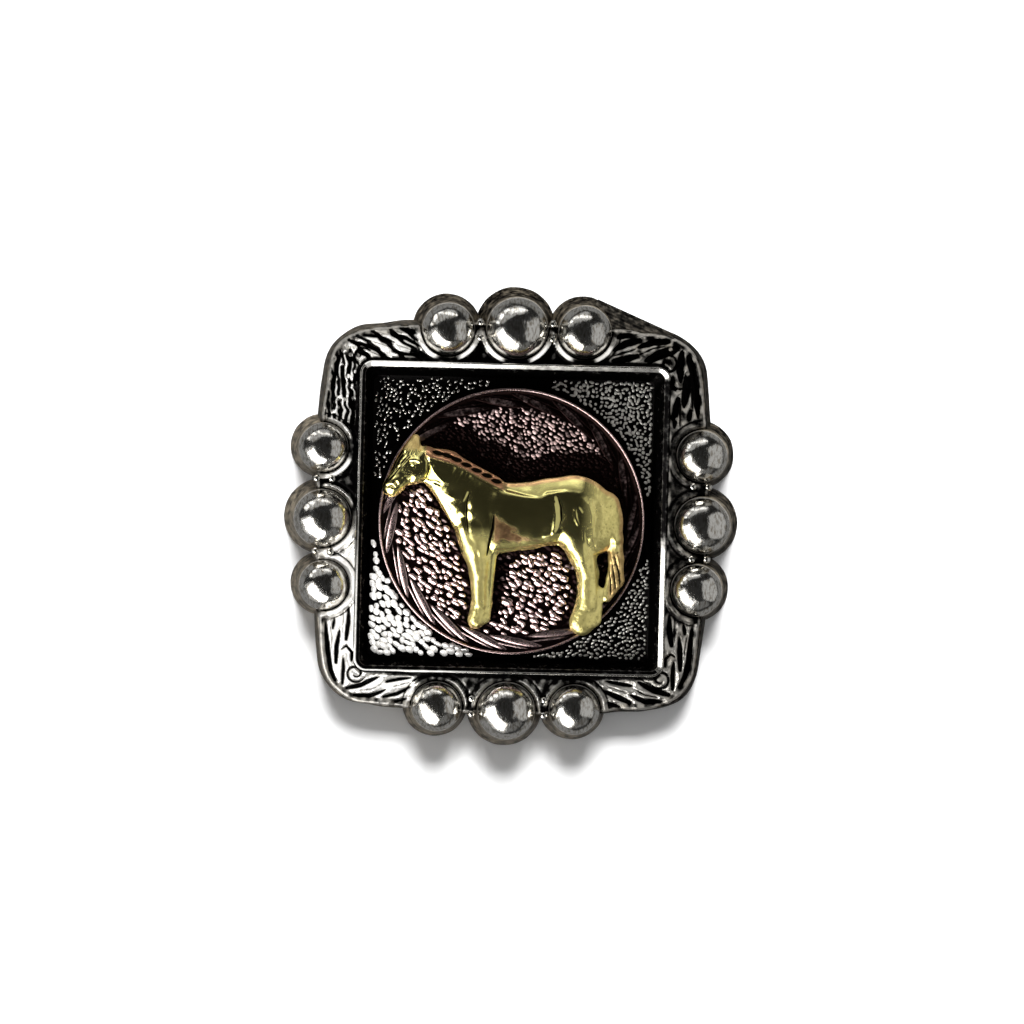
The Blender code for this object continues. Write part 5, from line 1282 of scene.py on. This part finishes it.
def horseMesh():
    h = horseSize
    step = h["step"]
    xs = np.arange(-0.545, 0.545, step)
    ys = np.arange(-0.440, 0.425, step)
    x, y = np.meshgrid(xs, ys, indexing="ij")
    field = horseOutline(x, y)
    middle = horseOutline(x[:-1, :-1] + step / 2, y[:-1, :-1] + step / 2)
    kept = middle < 0
    # Cells that touch only at a corner would pinch the skin, so their neighbours join them
    lowLeft, upRight, lowRightHighlight, upLeft = kept[:-1, :-1], kept[1:, 1:], kept[1:, :-1], kept[:-1, 1:]
    first, second = lowLeft & upRight, lowRightHighlight & upLeft
    pinch = (first != second) & (first | second) & ~((lowLeft | upRight) & (lowRightHighlight | upLeft))
    for i, j in zip(*np.nonzero(pinch)):
        kept[i:i + 2, j:j + 2] = True
    used = np.zeros(x.shape, bool)
    full = np.ones(x.shape, bool)
    for i, j in ((0, 0), (1, 0), (0, 1), (1, 1)):
        view = (slice(i, x.shape[0] - 1 + i), slice(j, x.shape[1] - 1 + j))
        used[view] |= kept
        full[view] &= kept
    full[0, :] = full[-1, :] = full[:, 0] = full[:, -1] = False
    rim = used & ~full
    px, py = x.copy(), y.copy()
    nudge = 1e-4
    for _ in range(3):
        rx, ry = px[rim], py[rim]
        value = horseOutline(rx, ry)
        slopeX = (horseOutline(rx + nudge, ry) - value) / nudge
        slopeY = (horseOutline(rx, ry + nudge) - value) / nudge
        steepness = np.maximum(slopeX ** 2 + slopeY ** 2, 0.2)
        px[rim] = rx - value * slopeX / steepness
        py[rim] = ry - value * slopeY / steepness
    rise = horseRelief(px, py)
    # The back falls off in a broad flat bevel, with a crisp edge towards the flank
    line = np.array(horseLines["backEdge"][0])
    above = smoothStep(-0.003, 0.003, py - np.interp(px, line[:, 0], line[:, 1]))
    above *= smoothStep(line[0, 0] - 0.01, line[0, 0] + 0.01, px)
    above *= smoothStep(line[-1, 0] + 0.01, line[-1, 0] - 0.01, px)
    bevelled = np.minimum(rise, h["backSlope"] * np.maximum(-horseOutline(px, py), 0.0))
    rise = rise + (bevelled - rise) * above
    rise[rim] = 0.0
    rise = soften(rise, full, 0.45, h["softening"])
    inward = smoothStep(0.002, 0.012, -field)
    rise, polish = carveLines(rise, np.ones(x.shape), px, py, inward, horseLines, bodyCarving)
    band = 1 - smoothStep(0.8 * maneCuts["bandWidth"], maneCuts["bandWidth"], crestDistance(px, py))
    band *= smoothStep(-0.345, -0.325, px) * (1 - smoothStep(-0.02, 0.02, px))
    rise = rise + maneCuts["bandLift"] * band * inward
    tilt = math.radians(maneCuts["tilt"])
    run = maneCuts["halfLength"] * np.array([math.cos(tilt), math.sin(tilt)])
    for centre in maneCuts["places"]:
        ends = (np.array(centre) - run, np.array(centre), np.array(centre) + run)
        edge = strokeDistance(px, py, ends, maneCuts["width"], lineTaper)
        share = 1 - smoothStep(-0.006, 0.003, edge)
        rise = rise - maneCuts["depth"] * share
        polish *= 1 - share
    tailShare = smoothStep(0.43, 0.45, px) * (1 - smoothStep(-0.09, -0.05, py))
    tailShare *= smoothStep(-0.30, -0.27, py)
    backRim = (1 - smoothStep(0.010, 0.022, -field)) * smoothStep(0.10, 0.16, py + 0.25 * (px > 0.40))
    backRim *= smoothStep(-0.12, -0.02, px)
    # Rump, legs and chest are left grainy from the mould; on the flank's fore part a copper-coloured patch
    # is painted reflection
    grainy = smoothStep(0.31, 0.40, px) + 0.4 * smoothStep(0.0, -0.10, py) + smoothStep(-0.30, -0.34, py)
    grainy = np.clip(grainy, 0.0, 1.0)
    ragged = 0.010 * waves(px, py, 0.05, 53)
    paintedReflection = smoothStep(-0.005, 0.03, 0.085 - py - 0.65 * (px + 0.05) + ragged)
    paintedReflection *= smoothStep(-0.055, -0.035, px)
    paintedReflection *= smoothStep(-0.05, -0.02, py - 0.02 * px + ragged)
    tuft = smoothStep(0.325, 0.350, py) * smoothStep(-0.335, -0.350, px)
    tint = np.maximum.reduce([band, 0.75 * tailShare, 0.8 * backRim, paintedReflection, 0.6 * tuft])
    neck = smoothStep(-0.10, -0.16, px) * smoothStep(0.02, 0.06, py)
    fine = waves(px, py, 0.011, 55, 9) + 0.6 * waves(px, py, 0.020, 56)
    polish *= 1 - horseWear["grain"] * np.clip(grainy + 0.5 * neck, 0.0, 1.0) * smoothStep(0.5, 1.5, fine)
    for share in horseWear["patch"]:
        polish *= 1 - share * paintedReflection
    polish *= 1 - horseWear["tail"] * tailShare * smoothStep(0.010, 0.020, -field)
    foreleg = smoothStep(-0.19, -0.16, px) * smoothStep(-0.04, -0.07, px) * smoothStep(0.03, -0.03, py)
    hindLeg = smoothStep(0.30, 0.33, px) * smoothStep(-0.10, -0.16, py)
    dullSkin = horseWear["grainDull"] * np.maximum(grainy, np.maximum(foreleg, hindLeg))
    dullSkin = np.maximum(dullSkin, horseWear["reflectionDull"] * np.maximum(paintedReflection, 2 * tuft))
    rise = soften(rise, full, 0.5, 4)
    # The head is modelled after the softening, so its lines stay crisp
    rise, polish = carveLines(rise, polish, px, py, inward, headLines, headCarving)
    cast = 0.0003 * waves(px, py, 0.06, 51) + 0.0004 * grainy * waves(px, py, 0.030, 52)
    rise = rise + (cast + 0.0004 * neck * waves(px, py, 0.022, 54)) * inward
    rise = rise - 0.0012 * grainy * smoothStep(0.3, 1.4, fine) * inward
    index = np.full(x.shape, -1)
    index[used] = np.arange(used.sum())
    z = (h["edge"] + np.maximum(rise, -0.012)) * h["length"] + h["z"]
    flat = np.column_stack([px[used], py[used]]) * h["length"] + h["place"]
    top = np.column_stack([flat, z[used]])
    faces = []
    edges = {}  # those that only one face has, in order, which make the rim
    for i, j in zip(*np.nonzero(kept)):
        ring = [index[i, j], index[i + 1, j], index[i + 1, j + 1], index[i, j + 1]]
        faces.append(tuple(int(k) for k in ring))
        for a, b in zip(ring, ring[1:] + ring[:1]):
            if (b, a) in edges:
                del edges[b, a]
            else:
                edges[a, b] = True
    points = [top]
    marks = {"polish": [polish[used]], "tint": [tint[used]], "dull": [dullSkin[used]]}
    rimKeys = sorted({k for edge in edges for k in edge})
    total = len(top)
    above = {k: k for k in rimKeys}
    for level in (0.75, 0.35, 0.0):
        ring = top[rimKeys].copy()
        ring[:, 2] = h["z"] + (ring[:, 2] - h["z"]) * level
        points.append(ring)
        marks["polish"].append(np.full(len(ring), 0.35 + 0.4 * level))
        marks["tint"].append(tint[used][rimKeys])
        marks["dull"].append(np.full(len(ring), 0.8))
        below = {k: total + place for place, k in enumerate(rimKeys)}
        for a, b in edges:
            faces.append((int(above[b]), int(above[a]), int(below[a]), int(below[b])))
        above = below
        total += len(ring)
    marks = {key: np.concatenate(values) for key, values in marks.items()}
    return turnOutward(meshFrom("goldHorse", np.concatenate(points), faces, marks), closeBottom=True)


finishPiece("goldHorse", horseMesh(), goldPlate, "horse")


def rowPoints():
    # Slanted rows with every second one shifted, each grain a little out of place
    m = medallionSize
    draw = random.Random(41)
    slant = math.radians(m["rowSlant"])
    reach = int(m["radius"] / m["rowPitch"]) + 2
    points = []
    # Above the horse the rows lie closer
    for closeness, upperPart in ((1.0, False), (m["upperPitch"], True)):
        for row in range(-2 * reach, 2 * reach + 1):
            for column in range(-2 * reach, 2 * reach + 1):
                u = ((column + 0.5 * (row % 2)) * m["grainPitch"] + draw.uniform(-0.24, 0.24)) * closeness
                v = (row * m["rowPitch"] + draw.uniform(-0.20, 0.20)) * closeness
                x = u * math.cos(slant) - v * math.sin(slant)
                y = u * math.sin(slant) + v * math.cos(slant)
                if math.hypot(x, y) < m["strandInner"] - 0.15 and (y > 2.2) == upperPart:
                    points.append((x, y + m["centreY"], m["ground"] - 0.01))
    points = np.array(points)
    # Painted shadow: the grains are darkened close to the horse and in its cast shadow above and to the
    # right of it, with some oxide next to it
    x = (points[:, 0] - horseSize["place"][0]) / horseSize["length"]
    y = (points[:, 1] - horseSize["place"][1]) / horseSize["length"]
    clear = smoothStep(0.012, 0.040, horseOutline(x, y))
    for shiftX, shiftY in ((0.02, 0.03), (0.04, 0.06), (0.05, 0.085)):
        clear = np.minimum(clear, smoothStep(0.0, 0.03, horseOutline(x - shiftX, y - shiftY)))
    # Painted shade: the upper part is painted darker; there its grains are also smaller and duller
    upper = smoothStep(0.12, 0.30, y)
    bright = clear * (1.5 - 0.97 * upper) + 0.15 * waves(x, y, 0.12, 42)
    marks = {
        "bright": np.clip(bright, 0.0, 1.6), "dull": 0.35 * upper,
        "grow": 1.12 - 0.50 * upper + (0.2 - 0.1 * upper) * waves(x, y, 0.05, 43),
    }
    return meshFrom("rowPoints", points, [], marks)


rowInputs = {
    "Width": 0.25 * mm, "Length": 0.31 * mm, "Height": 0.11 * mm, "Seed": 9,
    "Lean": math.radians(1.1) / mm, "Slant": math.radians(22),
}
slantRange = (math.radians(medallionSize["rowSlant"] - 22), math.radians(medallionSize["rowSlant"] + 18))
slantedRows = grainTree("slantedRows", rowInputs, False, copperPlate, slantRange)
copperGrains = runTree(slantedRows, rowInputs, rowPoints())
finishPiece("copperGrains", copperGrains, copperPlate, "medallion")

# Studio: a pale floor, soft panels over it and a dark room beyond them
studio = {
    "floorSize": 900, "floorDrop": 0.02, "floorColour": "#f4f4f4", "room": 0.022,
    # Direction from +X, angle off the vertical, distance, width, length, radiance, and whether the panel
    # lights matt things such as the floor, and whether it shows in the metal
    "panels": {
        "keyWindow": (226, 60, 62, 94, 36, 7.0, False, True),
        "keyHalo": (224, 64, 68, 140, 70, 0.5, False, True),
        "rightWall": (2, 61, 82, 120, 100, 0.46, False, True),
        "upperWall": (112, 70, 84, 130, 52, 0.42, False, True),
        "paneA": (115, 80, 78, 13, 11, 1.6, False, True),
        "paneB": (134, 79, 78, 16, 16, 2.4, False, True),
        "paneC": (154, 81, 78, 13, 16, 2.2, False, True),
        "upperStrip": (90, 71, 80, 60, 13, 1.4, False, True),
        "lowerWall": (290, 70, 84, 84, 44, 0.14, False, True),
        "floorGlow": (0, 180, 60, 600, 600, 0.22, False, True),
        "shadowLight": (90, 43, 1500, 620, 560, 47.0, True, False),
        "overheadFill": (0, 0, 600, 900, 900, 0.66, True, False),
    },
}


def addPanel(name, azimuth, slant, distance, width, length, radiance, lightsFloor, shows):
    data = bpy.data.lights.new(name, "AREA")
    data.shape = "RECTANGLE"
    data.size, data.size_y = width * mm, length * mm
    data.energy = radiance * math.pi * data.size * data.size_y
    panel = bpy.data.objects.new(name, data)
    bpy.context.scene.collection.objects.link(panel)
    a, s = math.radians(azimuth), math.radians(slant)
    back = Vector((math.cos(a) * math.sin(s), math.sin(a) * math.sin(s), math.cos(s)))
    side = Vector((-math.sin(a), math.cos(a), 0.0))
    turn = Matrix((side, back.cross(side), back)).transposed().to_4x4()
    panel.matrix_world = Matrix.Translation(back * distance * mm) @ turn
    panel.visible_camera = False
    panel.visible_diffuse = lightsFloor
    panel.visible_glossy = shows


for name, panel in studio["panels"].items():
    addPanel(name, *panel)

floorMesh = bpy.data.meshes.new("studioFloor")
reach = studio["floorSize"] / 2
corners = [(-reach, -reach), (reach, -reach), (reach, reach), (-reach, reach)]
floorMesh.from_pydata([(x * mm, y * mm, -studio["floorDrop"] * mm) for x, y in corners], [], [(0, 1, 2, 3)])
floor = bpy.data.objects.new("studioFloor", floorMesh)
bpy.context.scene.collection.objects.link(floor)
paper = bpy.data.materials.new("mattWhitePaper")
paper.use_nodes = True
paperLook = {"Base Color": hexColour(studio["floorColour"]), "Roughness": 0.9, "Specular IOR Level": 0.1}
for socket, value in paperLook.items():
    paper.node_tree.nodes["Principled BSDF"].inputs[socket].default_value = value
floorMesh.materials.append(paper)
# The metal mirrors the dimmer panel under the floor, as if the floor were in the room's half light
floor.visible_glossy = False

world = bpy.data.worlds.new("darkRoom")
world.use_nodes = True
roomLight = world.node_tree.nodes["Background"].inputs
roomLight["Color"].default_value = (1.0, 1.0, 1.0, 1.0)
roomLight["Strength"].default_value = studio["room"]
bpy.context.scene.world = world
bpy.context.scene.view_settings.view_transform = "Standard"

# Camera: over the concho's face, a little to its upper left, turned as the photo is
view = {"lens": 250, "sensor": 36, "frameWidth": 85.2, "lean": 2.6, "roll": 1.4, "faceZ": 4.0, "drop": 0.58}
cameraData = bpy.data.cameras.new("camera")
cameraData.lens = view["lens"]
cameraData.sensor_width = view["sensor"]
cameraData.clip_start = 0.01
camera = bpy.data.objects.new("camera", cameraData)
bpy.context.scene.collection.objects.link(camera)
lean = math.sin(math.radians(view["lean"]))
back = Vector((-lean, lean, 1.0)).normalized()
roll = math.radians(view["roll"])
up = Vector((-math.sin(roll), math.cos(roll), 0.0))
side = up.cross(back).normalized()
up = back.cross(side)
aim = Vector((0.0, 0.0, view["faceZ"])) + up * view["drop"]
distance = view["frameWidth"] * view["lens"] / view["sensor"]
turn = Matrix((side, up, back)).transposed().to_4x4()
camera.matrix_world = Matrix.Translation((aim + back * distance) * mm) @ turn
bpy.context.scene.camera = camera
print("studio and camera: done")
